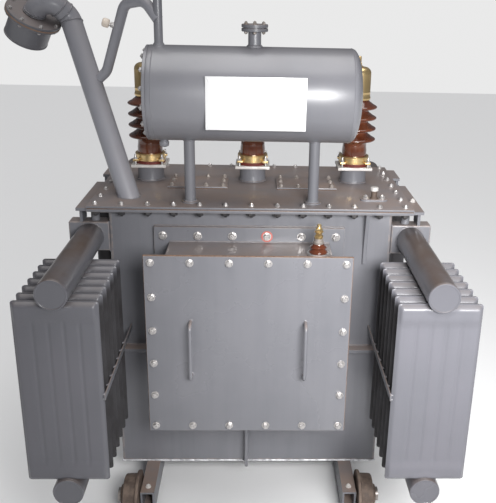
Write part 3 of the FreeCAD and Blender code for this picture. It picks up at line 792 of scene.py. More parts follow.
def radiator_paint(side):
    """The panels' enamel with painted shade between the panels; the left stacks are painted darker, as painted shade.
    """
    # Painted shade: the left stacks get a darker tone than the right.
    tone = 0.80 if side == "left" else 0.94
    made = enamel(
        "radiator_enamel_" + side, tone, dust_and_painted_light=0.7, streaks=0.22, edge_wear=0.2, radiator=True,
        # The dark dust colour paints the panels' tops darker, as painted shade.
        dust_and_painted_light_colour=[0.090, 0.075, 0.070],
    )
    tree = made.node_tree
    if "stack" in tree.nodes:
        return made
    low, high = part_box("radiator_panels_front_right")
    mask = tree.nodes.new("ShaderNodeGroup")
    mask.name = "stack"
    mask.node_tree = bpy.data.node_groups.get("stack_mask") or stack_mask()
    mask.inputs["Outer Panel"].default_value = -low.y
    mask.inputs["Top"].default_value = high.z
    skin = next(node for node in tree.nodes if node.type == "GROUP" and node != mask)
    # Feed the painted shade between the panels into the enamel.
    tree.links.new(mask.outputs["Painted Shade"], skin.inputs["Painted Shade"])
    return made


def header_paint():
    # Dark tone and dark brown dust on the header pipes: dust together with a painted dark brown reflection on their
    # tops.
    return enamel(
        "header_enamel", 0.78, dust_and_painted_light=1.0, streaks=0.2, radiator=True, gloss=-0.08, coat=0.3,
        dust_and_painted_light_colour=[0.075, 0.053, 0.042],
    )


def weld_paint():
    return enamel("weld_enamel", 1.25, dust_and_painted_light=0.25, streaks=0.0, edge_wear=0.0, gloss=-0.12)


def bright_weld():
    # Near-white bead: a painted highlight standing for the glints along the tank's foot weld.
    return bare("bright_weld", [0.80, 0.80, 0.82], [0.24, 0.24, 0.26], 0.75, 60.0, 0.28, 0.2, Metallic=0.3)


def bare(name, first, second, patches, scale, rough, spread, bump=0.25, grain=260.0, **shader):
    """A metal, glaze or rubber finish from two tones."""
    values = {
        "Colour": first, "Second Colour": second, "Patch Scale": scale, "Patches": patches,
        "Grain Scale": grain, "Roughness": rough, "Roughness Spread": spread,
    }
    return material(name, bare_skin, values, bump, **shader)


def zinc():
    first = bpy.context.scene.transformer_metal.zinc
    second = [x * 0.62 for x in first]
    return bare("zinc_plate", first, second, 0.5, 55.0, 0.28, 0.25, Metallic=0.75)


def brass():
    metal = bpy.context.scene.transformer_metal
    return bare("brass", metal.brass, metal.brass_dull, 0.55, 24.0, 0.24, 0.22, Metallic=0.9)


def porcelain():
    metal = bpy.context.scene.transformer_metal
    return bare(
        "brown_glaze", metal.porcelain, metal.porcelain_light, 0.5, 16.0, 0.10, 0.08, 0.12, 60.0,
        Coat_Weight=0.6, Coat_Roughness=0.06, Specular_IOR_Level=0.6,
    )


def iron():
    metal = bpy.context.scene.transformer_metal
    return bare("cast_iron", metal.iron, metal.iron_dust, 0.85, 26.0, 0.62, 0.25, 0.6, 180.0, Metallic=0.15)


def steel():
    metal = bpy.context.scene.transformer_metal
    return bare("axle_steel", [0.20, 0.18, 0.17], metal.iron_dust, 0.6, 30.0, 0.42, 0.2, Metallic=0.6)


def cork():
    first = bpy.context.scene.transformer_metal.cork
    return bare("cork_gasket", first, [x * 0.55 for x in first], 0.9, 120.0, 0.8, 0.1, 0.5, 420.0)


def sign_enamel():
    first = bpy.context.scene.transformer_metal.sign
    return bare("sign_enamel", first, [x * 0.9 for x in first], 0.35, 6.0, 0.32, 0.12, 0.08)


def knob_resin():
    first = bpy.context.scene.transformer_metal.knob
    return bare("knob_resin", first, [x * 0.75 for x in first], 0.5, 40.0, 0.35, 0.15)


# ------------------------------------------------------------------ pieces


def place_group(name, makers, material_list, replaced=(), body=BODY, angle=38.0):
    """One piece out of several mesh makers that each add to the same mesh."""
    bm = bmesh.new()
    bm.faces.layers.float.new("edge")
    for maker in makers:
        maker(bm)
    return piece(name, mesh_of(bm, name, angle), material_list, replaced, body)


class TRANSFORMER_OT_tank(bpy.types.Operator):
    """Build the tank's walls, rim, cover, band, ribs and gusset"""

    bl_idname = "transformer.tank"
    bl_label = "Tank"

    def execute(self, context):
        sheet = context.scene.transformer_sheet
        low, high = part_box("tank_body")
        rim_low, rim_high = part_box("tank_rim")
        lid_low, lid_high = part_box("tank_cover")
        place_group(
            "tank_walls", [lambda bm: plate(bm, low, high, sheet.corner, 4)],
            [tank_paint()], ["tank_body"], angle=30.0,
        )
        place_group(
            "tank_rim_frame", [lambda bm: plate(bm, rim_low, rim_high, sheet.edge)],
            [tank_paint()], ["tank_rim"],
        )
        inset = Vector((0.005, 0.005, 0))
        seat = Vector((lid_high.x, lid_high.y, lid_low.z + sheet.gasket))
        place_group(
            "cover_gasket", [lambda bm: plate(bm, lid_low + inset, seat - inset, 0.0004)],
            [cork()],
        )
        lid_foot = Vector((lid_low.x, lid_low.y, seat.z))
        place_group(
            "tank_lid", [lambda bm: plate(bm, lid_foot, lid_high, sheet.edge * 1.4)],
            [tank_paint()], ["tank_cover"],
        )
        band_low, band_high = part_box("tank_band")
        frame_low, frame_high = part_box("cable_box_frame")
        spans = (
            ((band_low.x, band_low.y), (low.x, band_high.y)),
            ((high.x, band_low.y), (band_high.x, band_high.y)),
            ((low.x, high.y), (high.x, band_high.y)),
            ((low.x, band_low.y), (frame_low.x, low.y)),
            ((frame_high.x, band_low.y), (high.x, low.y)),
        )

        def band(bm):
            for first, last in spans:
                plate(bm, (*first, band_low.z), (*last, band_high.z), sheet.edge * 1.5)

        place_group("stiffening_band", [band], [tank_paint()], ["tank_band"])
        rib_low, rib_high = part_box("tank_ribs")

        def ribs(bm):
            plate(bm, rib_low, (rib_high.x, low.y, frame_low.z), sheet.edge * 1.5)
            plate(bm, (rib_low.x, high.y, rib_low.z), (rib_high.x, rib_high.y, band_low.z), sheet.edge * 1.5)

        place_group("upright_ribs", [ribs], [tank_paint()], ["tank_ribs"])
        gusset_low, gusset_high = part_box("front_gusset")

        def gusset(bm):
            toe = gusset_high.y - 0.014
            step = gusset_low.z + 0.060
            outline = (
                (gusset_high.y, gusset_high.z), (gusset_low.y, gusset_high.z),
                (toe, step), (toe, gusset_low.z), (gusset_high.y, gusset_low.z),
            )
            sides = [
                [bm.verts.new((side, depth, height)) for depth, height in outline]
                for side in (gusset_low.x, gusset_high.x)
            ]
            bm.faces.new(sides[0])
            bm.faces.new(list(reversed(sides[1])))
            for index in range(len(outline)):
                after = (index + 1) % len(outline)
                bm.faces.new((sides[0][index], sides[1][index], sides[1][after], sides[0][after]))
            bmesh.ops.bevel(bm, geom=bm.edges[:], offset=sheet.edge, segments=2, affect="EDGES")

        place_group("rim_gusset", [gusset], [tank_paint()], ["front_gusset"])
        foot = [
            Vector((x, y, low.z + 0.0015))
            for x, y in ((low.x, low.y), (high.x, low.y), (high.x, high.y), (low.x, high.y), (low.x, low.y))
        ]
        welds("tank_foot_weld", [foot], bright_weld(), 1.15, ripple=0.5)
        under_rim = [Vector((point.x, point.y, rim_low.z)) for point in foot]
        lines = [under_rim]
        for side in (rib_low.x, rib_high.x):
            lines.append([Vector((side, low.y, low.z)), Vector((side, low.y, frame_low.z))])
            lines.append([Vector((side, high.y, low.z)), Vector((side, high.y, band_low.z))])
        for side in (gusset_low.x, gusset_high.x):
            lines.append([Vector((side, low.y, gusset_low.z)), Vector((side, low.y, rim_low.z))])
        for height in (band_low.z, band_high.z):
            lines.append([Vector((low.x, low.y, height)), Vector((frame_low.x, low.y, height))])
            lines.append([Vector((frame_high.x, low.y, height)), Vector((high.x, low.y, height))])
            lines.append([Vector((low.x, high.y, height)), Vector((high.x, high.y, height))])
            for side in (low.x, high.x):
                lines.append([Vector((side, low.y, height)), Vector((side, high.y, height))])
        welds("tank_welds", lines, tank_paint())
        return {"FINISHED"}


class TRANSFORMER_OT_cable_box(bpy.types.Operator):
    """Build the cable box with its frame, bolted cover, handles and neutral bushing"""

    bl_idname = "transformer.cable_box"
    bl_label = "Cable box"

    def execute(self, context):
        sheet = context.scene.transformer_sheet
        frame_low, frame_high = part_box("cable_box_frame")
        body_low, body_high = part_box("cable_box_body")
        cover_low, cover_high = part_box("cable_box_cover")
        neutral_low, neutral_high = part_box("neutral_bushing")
        wall = 0.063
        thick = 0.010
        box_low = Vector((frame_low.x + wall, body_low.y, frame_low.z + wall))
        box_high = Vector((frame_high.x - wall, body_high.y, neutral_low.z))
        place_group(
            "box_frame", [lambda bm: plate(bm, frame_low, frame_high, sheet.edge)],
            [flange_paint()], ["cable_box_frame"],
        )

        def body(bm):
            plate(
                bm, (frame_low.x, body_high.y - thick, frame_low.z),
                (frame_high.x, body_high.y, frame_high.z), sheet.edge,
            )
            plate(bm, box_low, box_high, 0.004, 3)
            plate(
                bm, (cover_low.x, body_low.y, cover_low.z),
                (cover_high.x, body_low.y + thick, cover_high.z), sheet.edge,
            )

        place_group("box_body", [body], [box_paint()], ["cable_box_body"])
        seat = cover_high.y - sheet.gasket
        place_group(
            "box_cover", [lambda bm: plate(bm, cover_low, (cover_high.x, seat, cover_high.z), sheet.edge)],
            [box_paint()], ["cable_box_cover"],
        )
        proud = 0.0022
        place_group(
            "box_gasket",
            [lambda bm: plate(
                bm, (cover_low.x - proud, seat, cover_low.z - proud),
                (cover_high.x + proud, cover_high.y, cover_high.z + proud), 0.0005,
            )],
            [cork()],
        )
        handle_low, handle_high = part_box("cable_box_handles")
        bar = 0.007

        def handles(bm):
            for side in (handle_low.x + bar, handle_high.x - bar):
                ends = (handle_low.z + bar, handle_high.z - bar)
                grip = handle_low.y + bar
                corners = (
                    Vector((side, handle_high.y + 0.001, ends[0])), Vector((side, grip, ends[0])),
                    Vector((side, grip, ends[1])), Vector((side, handle_high.y + 0.001, ends[1])),
                )
                swept(bm, rounded_route(corners, 0.020), bar, 16)

        place_group("box_handles", [handles], [tank_paint()], ["cable_box_handles"])
        feet = []
        for side in (handle_low.x + bar, handle_high.x - bar):
            for height in (handle_low.z + bar, handle_high.z - bar):
                feet.append(ring_points((side, handle_high.y, height), bar + 0.0015, FRONT, 14))
        welds("handle_welds", feet, weld_paint(), 0.7)
        seams = [
            upright_ring(box_low, box_high, depth)
            for depth in (body_high.y - thick, body_low.y + thick)
        ]
        seams.append(upright_ring(frame_low, frame_high, frame_high.y))
        welds("box_welds", seams, tank_paint())
        stem_low, stem_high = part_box("neutral_stem")
        foot = Vector((*centre_of("neutral_bushing").xy, neutral_low.z))
        rise = neutral_high.z - neutral_low.z
        base = facing(foot, UP)
        place_group(
            "neutral_flange",
            [lambda bm: turned(bm, [(0, 0), (0.045, 0), (0.046, 0.001), (0.046, 0.007), (0.044, 0.009), (0, 0.009)], base)],
            [zinc()],
        )
        skirt = [
            (0, 0.009), (0.036, 0.009), (0.0375, 0.012), (0.036, 0.016), (0.029, 0.022), (0.027, 0.026),
            (0.031, 0.029), (0.0325, 0.0315), (0.031, 0.034), (0.024, 0.040), (0.022, 0.046), (0, 0.046),
        ]
        place_group(
            "neutral_porcelain", [lambda bm: turned(bm, skirt, base)], [porcelain()],
            ["neutral_bushing"], angle=60.0,
        )
        collar = [
            (0, 0.0455), (0.0205, 0.0455), (0.021, 0.047), (0.0205, 0.056), (0.018, 0.058), (0.0175, rise - 0.001),
            (0.0165, rise), (0, rise),
        ]
        place_group("neutral_collar", [lambda bm: turned(bm, collar, base, 32)], [dusty_zinc()])
        stem = stem_high.z - stem_low.z
        thread = [(0, 0), (0.0165, 0), (0.0165, 0.006), (0.010, 0.006)]
        for step in range(11):
            height = 0.008 + step * 0.0035
            thread += [(0.0098, height), (0.0088, height + 0.00175)]
        thread += [(0.0092, stem - 0.003), (0.007, stem), (0, stem)]
        place_group(
            "neutral_stud", [lambda bm: turned(bm, thread, facing((foot.x, foot.y, stem_low.z), UP), 24)],
            [brass()], ["neutral_stem"],
        )
        tops = [((foot.x, foot.y, stem_low.z + height), UP) for height in (0.006, 0.026)]
        bolts("neutral_nuts", tops, brass(), 1.25, tail=False)
        return {"FINISHED"}


class TRANSFORMER_OT_radiators(bpy.types.Operator):
    """Build the four radiators: pressed panels in rows, header pipes, ducts and tie bars"""

    bl_idname = "transformer.radiators"
    bl_label = "Radiators"

    def panel(self, sheet, wide, tall, panel_foot, neck):
        """One pressed panel of two welded sheets, flutes between a top and a foot gallery."""
        flutes = 5
        half = wide / 2
        border = sheet.panel_border
        pitch = (wide - 2 * border - 0.020) / flutes

        def ease(value, low, high):
            step = min(max((value - low) / (high - low), 0.0), 1.0)
            return step * step * (3 - 2 * step)

        def swell(across, up):
            side = half - abs(across)
            end = min(up, tall - up)
            rise = (ease(side, border * 0.5, border + 0.012) * ease(end, border * 0.5, border + 0.016)) ** 0.4
            nearest = (across / pitch) - math.floor(across / pitch)
            groove = math.exp(-((min(abs(nearest - 0.5), 1.0) * pitch) / 0.0052) ** 2)
            within = ease(end, 0.060, 0.095) * ease(side, border + 0.010, border + 0.030)
            gallery = 1.0 - ease(end, 0.050, 0.090)
            depth = sheet.flute_depth + (sheet.gallery_depth - sheet.flute_depth) * gallery
            depth -= 0.0034 * groove * within
            centre_gap = math.hypot(across, end + neck)
            depth += 0.006 * (1.0 - ease(centre_gap, 0.058, 0.082)) * ease(end, 0.0, 0.012)
            return sheet.seam + (depth - sheet.seam) * rise

        columns = [-half + wide * step / 74 for step in range(75)]
        fine = [0.0, 0.003, 0.0065, 0.010, 0.014, 0.018, 0.022, 0.027, 0.033, 0.041, 0.050, 0.058, 0.066, 0.075, 0.085, 0.095, 0.11]
        middle = [0.11 + (tall - 0.22) * step / 9 for step in range(1, 9)]
        rows = fine + middle + [tall - value for value in reversed(fine)]
        bm = bmesh.new()
        sides = []
        corner = 0.010
        for sign in (-1, 1):
            grid = []
            for up in rows:
                end = min(up, tall - up)
                pull = corner - math.sqrt(max(corner ** 2 - max(corner - end, 0.0) ** 2, 0.0))
                grid.append([
                    bm.verts.new((across * (half - pull) / half, sign * swell(across, up), panel_foot + up))
                    for across in columns
                ])
            sides.append(grid)
            for first, second in zip(grid, grid[1:]):
                for index in range(len(columns) - 1):
                    quad = [first[index], first[index + 1], second[index + 1], second[index]]
                    bm.faces.new(quad if sign < 0 else list(reversed(quad))).smooth = True
        near, far = sides
        border_loop = (
            [(0, column) for column in range(75)] + [(row, 74) for row in range(1, len(rows))]
            + [(len(rows) - 1, column) for column in range(73, -1, -1)]
            + [(row, 0) for row in range(len(rows) - 2, 0, -1)]
        )
        for (row, column), (next_row, next_column) in zip(border_loop, border_loop[1:] + border_loop[:1]):
            bm.faces.new((
                near[next_row][next_column], near[row][column], far[row][column], far[next_row][next_column],
            ))
        return bm

    def execute(self, context):
        sheet = context.scene.transformer_sheet
        count = 7
        for corner in CORNERS:
            low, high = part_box("radiator_panels_" + corner)
            head_low, head_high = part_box("radiator_headers_" + corner)
            across = (low.x + high.x) / 2
            radius = (head_high.x - head_low.x) / 2
            tall = high.z - low.z
            neck = (head_high.z - radius) - high.z
            front = "front" in corner
            thick = 0.010
            first = low.y + thick if front else high.y - thick
            last = high.y - thick if front else low.y + thick
            bm = self.panel(sheet, high.x - low.x, tall, low.z, neck)
            mesh = mesh_of(bm, "panel", 50.0)
            mesh.transform(Matrix.Translation(Vector((across, first, 0))))
            values = {
                "Count": count, "Step": (0.0, (last - first) / (count - 1), 0.0),
                "Material": radiator_paint(corner.split("_")[1]),
            }
            rows = by_nodes(row_tree, mesh, values)
            piece("radiator_" + corner, rows, (), ["radiator_panels_" + corner])
            outer, inner = (head_low.y, head_high.y) if front else (head_high.y, head_low.y)
            span = abs(inner - outer)
            way = Vector((0, 1 if front else -1, 0))
            profile = [
                (0, 0.003), (radius * 0.55, 0.003), (radius - 0.008, 0.0015), (radius - 0.006, 0),
                (radius - 0.002, 0.0006), (radius, 0.0035), (radius, 0.008), (radius - 0.0012, 0.0095),
                (radius, 0.011), (radius, span * 0.5), (radius, span), (0, span),
            ]
            ends = [Vector((across, outer, height)) for height in (head_high.z - radius, head_low.z + radius)]
            makers = [
                lambda bm, end=end, profile=profile, way=way: turned(bm, profile, facing(end, way), 56)
                for end in ends
            ]
            place_group(
                "header_" + corner, makers, [header_paint()],
                ["radiator_headers_" + corner], angle=25.0,
            )
        self.ducts()
        self.ties()
        return {"FINISHED"}

    def ducts(self):
        """Square ducts between the tank's sides and the header pipes."""
        low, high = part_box("header_ducts")
        tank_low, tank_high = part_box("tank_body")
        head_low, head_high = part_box("radiator_headers_front_right")
        radius = (head_high.x - head_low.x) / 2
        deep = 0.070
        half = high.z - (head_high.z - radius)
        heights = (head_high.z - radius, head_low.z + radius)

        def boxes(bm):
            for inner, outer in ((tank_high.x, high.x), (low.x, tank_low.x)):
                for front, back in ((low.y, low.y + deep), (high.y - deep, high.y)):
                    for height in heights:
                        plate(bm, (inner, front, height - half), (outer, back, height + half), 0.006, 3)

        place_group("header_boxes", [boxes], [tank_paint()], ["header_ducts"])
        lines = []
        for corner in CORNERS:
            for height in heights:
                centre = mirrored(((head_low.x + head_high.x) / 2, low.y, height), corner)
                lines.append(ring_points(centre, radius + 0.001, FRONT, 26))
                side = mirrored((tank_high.x, low.y, 0), corner)
                inward = deep if side.y < 0 else -deep
                lines.append([
                    Vector((side.x, side.y, height + half)), Vector((side.x, side.y + inward, height + half)),
                    Vector((side.x, side.y + inward, height - half)), Vector((side.x, side.y, height - half)),
                ])
        welds("duct_welds", lines, tank_paint())

    def ties(self):
        """Flat bars along the panels' inner edges, tacked to each panel."""
        low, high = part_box("tie_bars")
        panel_low, panel_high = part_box("radiator_panels_front_right")
        tank_low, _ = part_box("tank_body")
        thick = 0.005
        inner = panel_low.x - thick

        def bars(bm):
            for corner in CORNERS:
                ends = [mirrored((inner, low.y, low.z), corner), mirrored((panel_low.x, tank_low.y, high.z), corner)]
                first = Vector((min(e[i] for e in ends) for i in range(3)))
                last = Vector((max(e[i] for e in ends) for i in range(3)))
                plate(bm, first, last, 0.0012)

        place_group("tie_straps", [bars], [tank_paint()], ["tie_bars"])
        lines = []
        for corner in CORNERS:
            for step in range(7):
                line = panel_low.y + 0.010 + 0.068 * step
                for side in (-1, 1):
                    for height in (low.z + 0.002, high.z - 0.002):
                        lines.append([
                            mirrored((panel_low.x - 0.003, line + side * 0.0035, height), corner),
                            mirrored((panel_low.x + 0.006, line + side * 0.0035, height), corner),
                        ])
        welds("tie_tacks", lines, weld_paint(), 1.1)


class TRANSFORMER_OT_lifting(bpy.types.Operator):
    """Finish the lifting lugs under the rim"""

    bl_idname = "transformer.lifting"
    bl_label = "Lifting points"

    def execute(self, context):
        finish_node("lifting_lugs", tank_paint())
        return {"FINISHED"}


class TRANSFORMER_OT_conservator(bpy.types.Operator):
    """Build the conservator with its ends, posts, filler, breather, drain and blank sign"""

    bl_idname = "transformer.conservator"
    bl_label = "Conservator"

    def execute(self, context):
        low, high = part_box("conservator_shell")
        left_low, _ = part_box("conservator_end_left")
        _, right_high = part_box("conservator_end_right")
        centre = centre_of("conservator_shell")
        radius = (high.z - low.z) / 2
        span = high.x - low.x
        axis = facing((low.x, centre.y, centre.z), -LEFT)
        knuckle = 0.014
        depth = right_high.x - high.x + knuckle
        profile = [(0, 0.0), (radius - 0.004, 0.0), (radius - 0.001, 0.001), (radius, 0.004)]
        profile += [(radius, 0.018), (radius + 0.0012, 0.020), (radius, 0.022)]
        profile += [(radius, span * step / 6) for step in range(1, 6)]
        foot = span - knuckle
        profile += [(radius, foot - 0.004), (radius + 0.0014, foot - 0.001), (radius, foot + 0.002)]
        for step in range(1, 15):
            along = math.sin(step / 15 * math.pi / 2)
            profile.append((radius * (1 - along ** 2) ** 0.30, foot + depth * along))
        profile.append((0, foot + depth))
        place_group(
            "conservator_drum", [lambda bm: turned(bm, profile, axis, 96)], [shell_paint()],
            ["conservator_shell", "conservator_end_right"], angle=28.0,
        )
        flange = low.x - left_low.x
        end = facing((low.x, centre.y, centre.z), LEFT)
        lid = [
            (0, 0), (radius - 0.001, 0), (radius - 0.001, 0.0105), (radius - 0.004, 0.0125),
            (radius - 0.042, 0.0125), (radius - 0.047, 0.0135), (radius * 0.55, flange * 0.80),
            (radius * 0.25, flange * 0.97), (0, flange),
        ]
        place_group(
            "conservator_lid", [lambda bm: turned(bm, lid, end, 96)], [shell_paint()],
            ["conservator_end_left"], angle=28.0,
        )
        turns = [2 * math.pi * (step + 0.5) / 14 for step in range(14)]
        rim = radius - 0.022
        places = [(end @ Vector((rim * math.cos(turn), rim * math.sin(turn), 0.012)), LEFT) for turn in turns]
        bolts("conservator_lid_bolts", places, zinc(), scale=0.85)
        finish_node("conservator_posts", tank_paint())
        self.posts()
        self.filler(centre, radius)
        self.breather(centre, radius)
        self.sign()
        return {"FINISHED"}

    def posts(self):
        """Foot plates and weld rings of the two posts."""
        low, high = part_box("conservator_posts")
        bar = (high.y - low.y) / 2
        across = high.x - bar
        line = (low.y + high.y) / 2
        feet = [Vector((side * across, line, low.z)) for side in (-1, 1)]
        profile = [
            (0, 0), (bar + 0.012, 0), (bar + 0.012, 0.005), (bar + 0.010, 0.0065),
            (bar + 0.001, 0.0065), (bar + 0.001, 0.010), (0, 0.010),
        ]
        place_group(
            "post_feet", [lambda bm, foot=foot: turned(bm, profile, facing(foot, UP), 32) for foot in feet],
            [tank_paint()],
        )
        rings = [ring_points(foot + UP * 0.0075, bar + 0.002, UP, 22) for foot in feet]
        rings += [ring_points((foot.x, foot.y, high.z - 0.001), bar + 0.002, UP, 22) for foot in feet]
        welds("post_welds", rings, weld_paint(), 0.9)

    def filler(self, centre, radius):
        """Filler neck with two bolted discs, and the drain's plug."""
        low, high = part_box("filler_cap")
        neck_low, neck_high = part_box("filler_neck")
        wide = (high.x - low.x) / 2
        bar = (neck_high.x - neck_low.x) / 2
        spot = centre_of("filler_cap")
        foot = facing((spot.x, spot.y, centre.z + radius - 0.006), UP)
        rise = low.z - centre.z - radius + 0.006
        neck = [(0, 0), (bar + 0.010, 0), (bar + 0.006, 0.008), (bar, 0.014), (bar, rise), (0, rise)]
        place_group(
            "filler_pipe", [lambda bm: turned(bm, neck, foot, 40)], [shell_paint()],
            ["filler_neck"],
        )
        tall = high.z - low.z
        seat = facing((spot.x, spot.y, low.z), UP)
        disc = tall * 0.38
        discs = [
            (0, 0), (wide - 0.002, 0), (wide, 0.002), (wide, disc - 0.001), (wide - 0.001, disc),
            (wide - 0.007, disc), (wide - 0.007, disc + 0.003), (wide - 0.001, disc + 0.003),
            (wide, disc + 0.004), (wide, 2 * disc + 0.001), (wide - 0.002, 2 * disc + 0.003), (0, 2 * disc + 0.003),
        ]
        place_group(
            "filler_discs", [lambda bm: turned(bm, discs, seat, 48)], [drum_paint()],
            ["filler_cap"],
        )
        top = 2 * disc + 0.003
        ring = [2 * math.pi * (step + 0.5) / 6 for step in range(6)]
        places = [(seat @ Vector(((wide - 0.012) * math.cos(t), (wide - 0.012) * math.sin(t), top)), UP) for t in ring]
        places += [(seat @ Vector(((wide - 0.012) * math.cos(t), (wide - 0.012) * math.sin(t), 0)), -UP) for t in ring]
        bolts("filler_bolts", places, dusty_zinc(), scale=0.58)
        drain_low, drain_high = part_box("drain_plug")
        spot = centre_of("drain_plug")
        bar = (drain_high.x - drain_low.x) / 2
        plug = [
            (0, 0), (bar * 0.55, 0.0005), (bar * 0.88, 0.004), (bar, 0.010), (bar, 0.020),
            (bar * 0.86, 0.022), (bar * 0.86, 0.025), (bar * 0.95, 0.027), (bar * 0.95, 0.038), (0, 0.038),
        ]
        place_group(
            "drain_cap", [lambda bm: turned(bm, plug, facing((spot.x, spot.y, drain_low.z), UP), 32)],
            [shell_paint()], ["drain_plug"],
        )

    def breather(self, centre, radius):
        """Breather pipe with its socket and cap."""
        low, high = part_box("breather_pipe")
        bar = (high.x - low.x) / 2
        spot = centre_of("breather_pipe")
        foot = facing((spot.x, spot.y, centre.z + radius - 0.006), UP)
        rise = high.z - centre.z - radius + 0.006
        pipe = [
            (0, 0), (bar + 0.008, 0), (bar + 0.004, 0.009), (bar, 0.015), (bar, rise - 0.040),
            (bar + 0.004, rise - 0.038), (bar + 0.004, rise - 0.004), (bar + 0.002, rise), (0, rise),
        ]
        place_group(
            "breather_tube", [lambda bm: turned(bm, pipe, foot, 36)], [shell_paint()],
            ["breather_pipe"],
        )

    def sign(self):
        """The blank white sign, held off the shell by four studs."""
        low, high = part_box("sign_plate")
        centre = centre_of("sign_plate")
        thick = 0.004
        back = low.y + thick

        place_group(
            "blank_sign", [lambda bm: plate(bm, low, (high.x, back, high.z), 0.0009)],
            [sign_enamel()], ["sign_plate"],
        )

        def studs(bm):
            for across in (low.x + 0.030, high.x - 0.030):
                for height in (low.z + 0.030, high.z - 0.030):
                    reach = 0.030 if height < centre.z else 0.020
                    turned(bm, [(0, 0), (0.007, 0), (0.007, reach), (0, reach)], facing((across, back, height), -FRONT), 16)

        place_group("sign_studs", [studs], [tank_paint()])
        heads = [
            ((across, low.y, height), FRONT)
            for across in (low.x + 0.012, high.x - 0.012) for height in (low.z + 0.012, high.z - 0.012)
        ]
        bolts("sign_screws", heads, sign_enamel(), 0.34, tail=False)


class TRANSFORMER_OT_vent(bpy.types.Operator):
    """Build the vent pipe's bolted head, its elbow seams and the balance pipe's valve"""

    bl_idname = "transformer.vent"
    bl_label = "Vent"

    def execute(self, context):
        finish_node("vent_pipe", vent_paint())
        finish_node("balance_pipe", vent_paint())
        pipe_low, pipe_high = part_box("vent_pipe")
        tank_low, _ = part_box("tank_body")
        foot = Vector((tank_low.x + 0.072, tank_low.y + 0.085, pipe_low.z))
        elbow = foot + Vector((-0.255, 0.263, 0.701))
        crown = elbow + Vector((-0.093, -0.059, 0.096))
        mouth = crown + Vector((-0.046, 0.031, -0.084))
        outlet = (mouth - crown).normalized()
        bore, disc, drum = 0.0445, 0.115, 0.090
        head = facing(mouth, outlet)
        profile = [
            (0, 0), (disc - 0.002, 0), (disc, 0.002), (disc, 0.0095), (disc - 0.0012, 0.0105),
            (disc - 0.0012, 0.0135), (disc, 0.0145), (disc, 0.022), (disc - 0.002, 0.024),
            (drum + 0.001, 0.024), (drum, 0.026), (drum, 0.112), (drum + 0.0015, 0.113),
            (drum + 0.0015, 0.118), (drum - 0.001, 0.120), (drum - 0.007, 0.120),
            (drum - 0.009, 0.114), (0, 0.110),
        ]
        place_group(
            "vent_drum", [lambda bm: turned(bm, profile, head, 72)], [drum_paint()],
            ["vent_head"], angle=30.0,
        )
        rim = [
            (disc - 0.006, 0.0092), (disc + 0.001, 0.0092), (disc + 0.001, 0.0150), (disc - 0.006, 0.0150),
            (disc - 0.006, 0.0092),
        ]
        place_group("vent_gasket", [lambda bm: turned(bm, rim, head, 72)], [pale_cork()])
        turns = [2 * math.pi * (step + 0.5) / 8 for step in range(8)]
        radius = disc - 0.013
        places = [(head @ Vector((radius * math.cos(t), radius * math.sin(t), 0.0)), -outlet) for t in turns]
        places += [(head @ Vector((radius * math.cos(t), radius * math.sin(t), 0.024)), outlet) for t in turns]
        bolts("vent_bolts", places, zinc(), scale=0.66)
        lean = (elbow - foot).normalized()
        arch = (crown - elbow).normalized()
        seams = [ring_points(mouth - outlet * 0.004, bore + 0.001, outlet, 26)]
        for corner, before, after in ((elbow, lean, arch), (crown, arch, outlet)):
            setback = 0.060 * math.tan(before.angle(after) / 2)
            seams.append(ring_points(corner - before * setback, bore + 0.0002, before, 26))
            seams.append(ring_points(corner + after * setback, bore + 0.0002, after, 26))
        collar = []
        for step in range(33):
            turn = 2 * math.pi * step / 32
            side = lean.cross(UP).normalized()
            other = side.cross(lean)
            spot = foot + side * (math.cos(turn) * bore) + other * (math.sin(turn) * bore)
            spot -= lean * ((spot.z - foot.z) / lean.z)
            collar.append(spot + UP * 0.001)
        seams.append(collar)
        welds("vent_welds", seams, weld_paint(), 0.95)
        self.valve(foot, elbow)
        return {"FINISHED"}

    def valve(self, foot, elbow):
        """Small valve with a cream knob."""
        centre = centre_of("conservator_shell")
        spot = centre_of("breather_pipe")
        branch = foot + (elbow - foot) * 0.62
        tee = branch + Vector((0.065, -0.008, 0.058))
        turn = Vector((spot.x, spot.y, centre.z)) + Vector((-0.138, 0.087, 0.327))
        run = (turn - tee).normalized()
        at = tee + (turn - tee) * 0.67
        outward = (LEFT + run * run.x).normalized()
        stem = facing(at, outward)
        stub = [(0, 0.018), (0.011, 0.018), (0.011, 0.030), (0.008, 0.032), (0.008, 0.037), (0, 0.037)]
        place_group("valve_stem", [lambda bm: turned(bm, stub, stem, 20)], [zinc()])
        grip = [
            (0, 0.036), (0.011, 0.036), (0.0165, 0.039), (0.018, 0.045), (0.018, 0.056),
            (0.0165, 0.062), (0.011, 0.0655), (0.006, 0.066), (0, 0.066),
        ]
        place_group(
            "valve_knob", [lambda bm: turned(bm, grip, stem, 32)], [knob_resin()],
            ["vent_valve"], angle=50.0,
        )


def vent_paint():
    return enamel("vent_enamel", 1.75, dust_and_painted_light=0.45, streaks=0.25)


def drum_paint():
    return enamel("drum_enamel", 0.98, dust_and_painted_light=0.6, streaks=0.3, edge_wear=0.8)


def pale_cork():
    return bare("pale_cork", [0.30, 0.20, 0.145], [0.20, 0.125, 0.085], 0.6, 40.0, 0.6, 0.2)


def red_gasket():
    return bare("red_gasket", [0.14, 0.022, 0.016], [0.06, 0.012, 0.01], 0.5, 30.0, 0.5, 0.2)


def red_fibre():
    return bare("red_fibre", [0.52, 0.10, 0.08], [0.36, 0.16, 0.13], 0.5, 40.0, 0.5, 0.2)


def dark_nut():
    return bare("dark_nut", [0.05, 0.05, 0.055], [0.09, 0.08, 0.075], 0.6, 60.0, 0.4, 0.2, Metallic=0.4)


def pale_plate():
    return bare("pale_plate", [0.62, 0.60, 0.58], [0.38, 0.34, 0.31], 0.45, 26.0, 0.36, 0.22, Metallic=0.25)


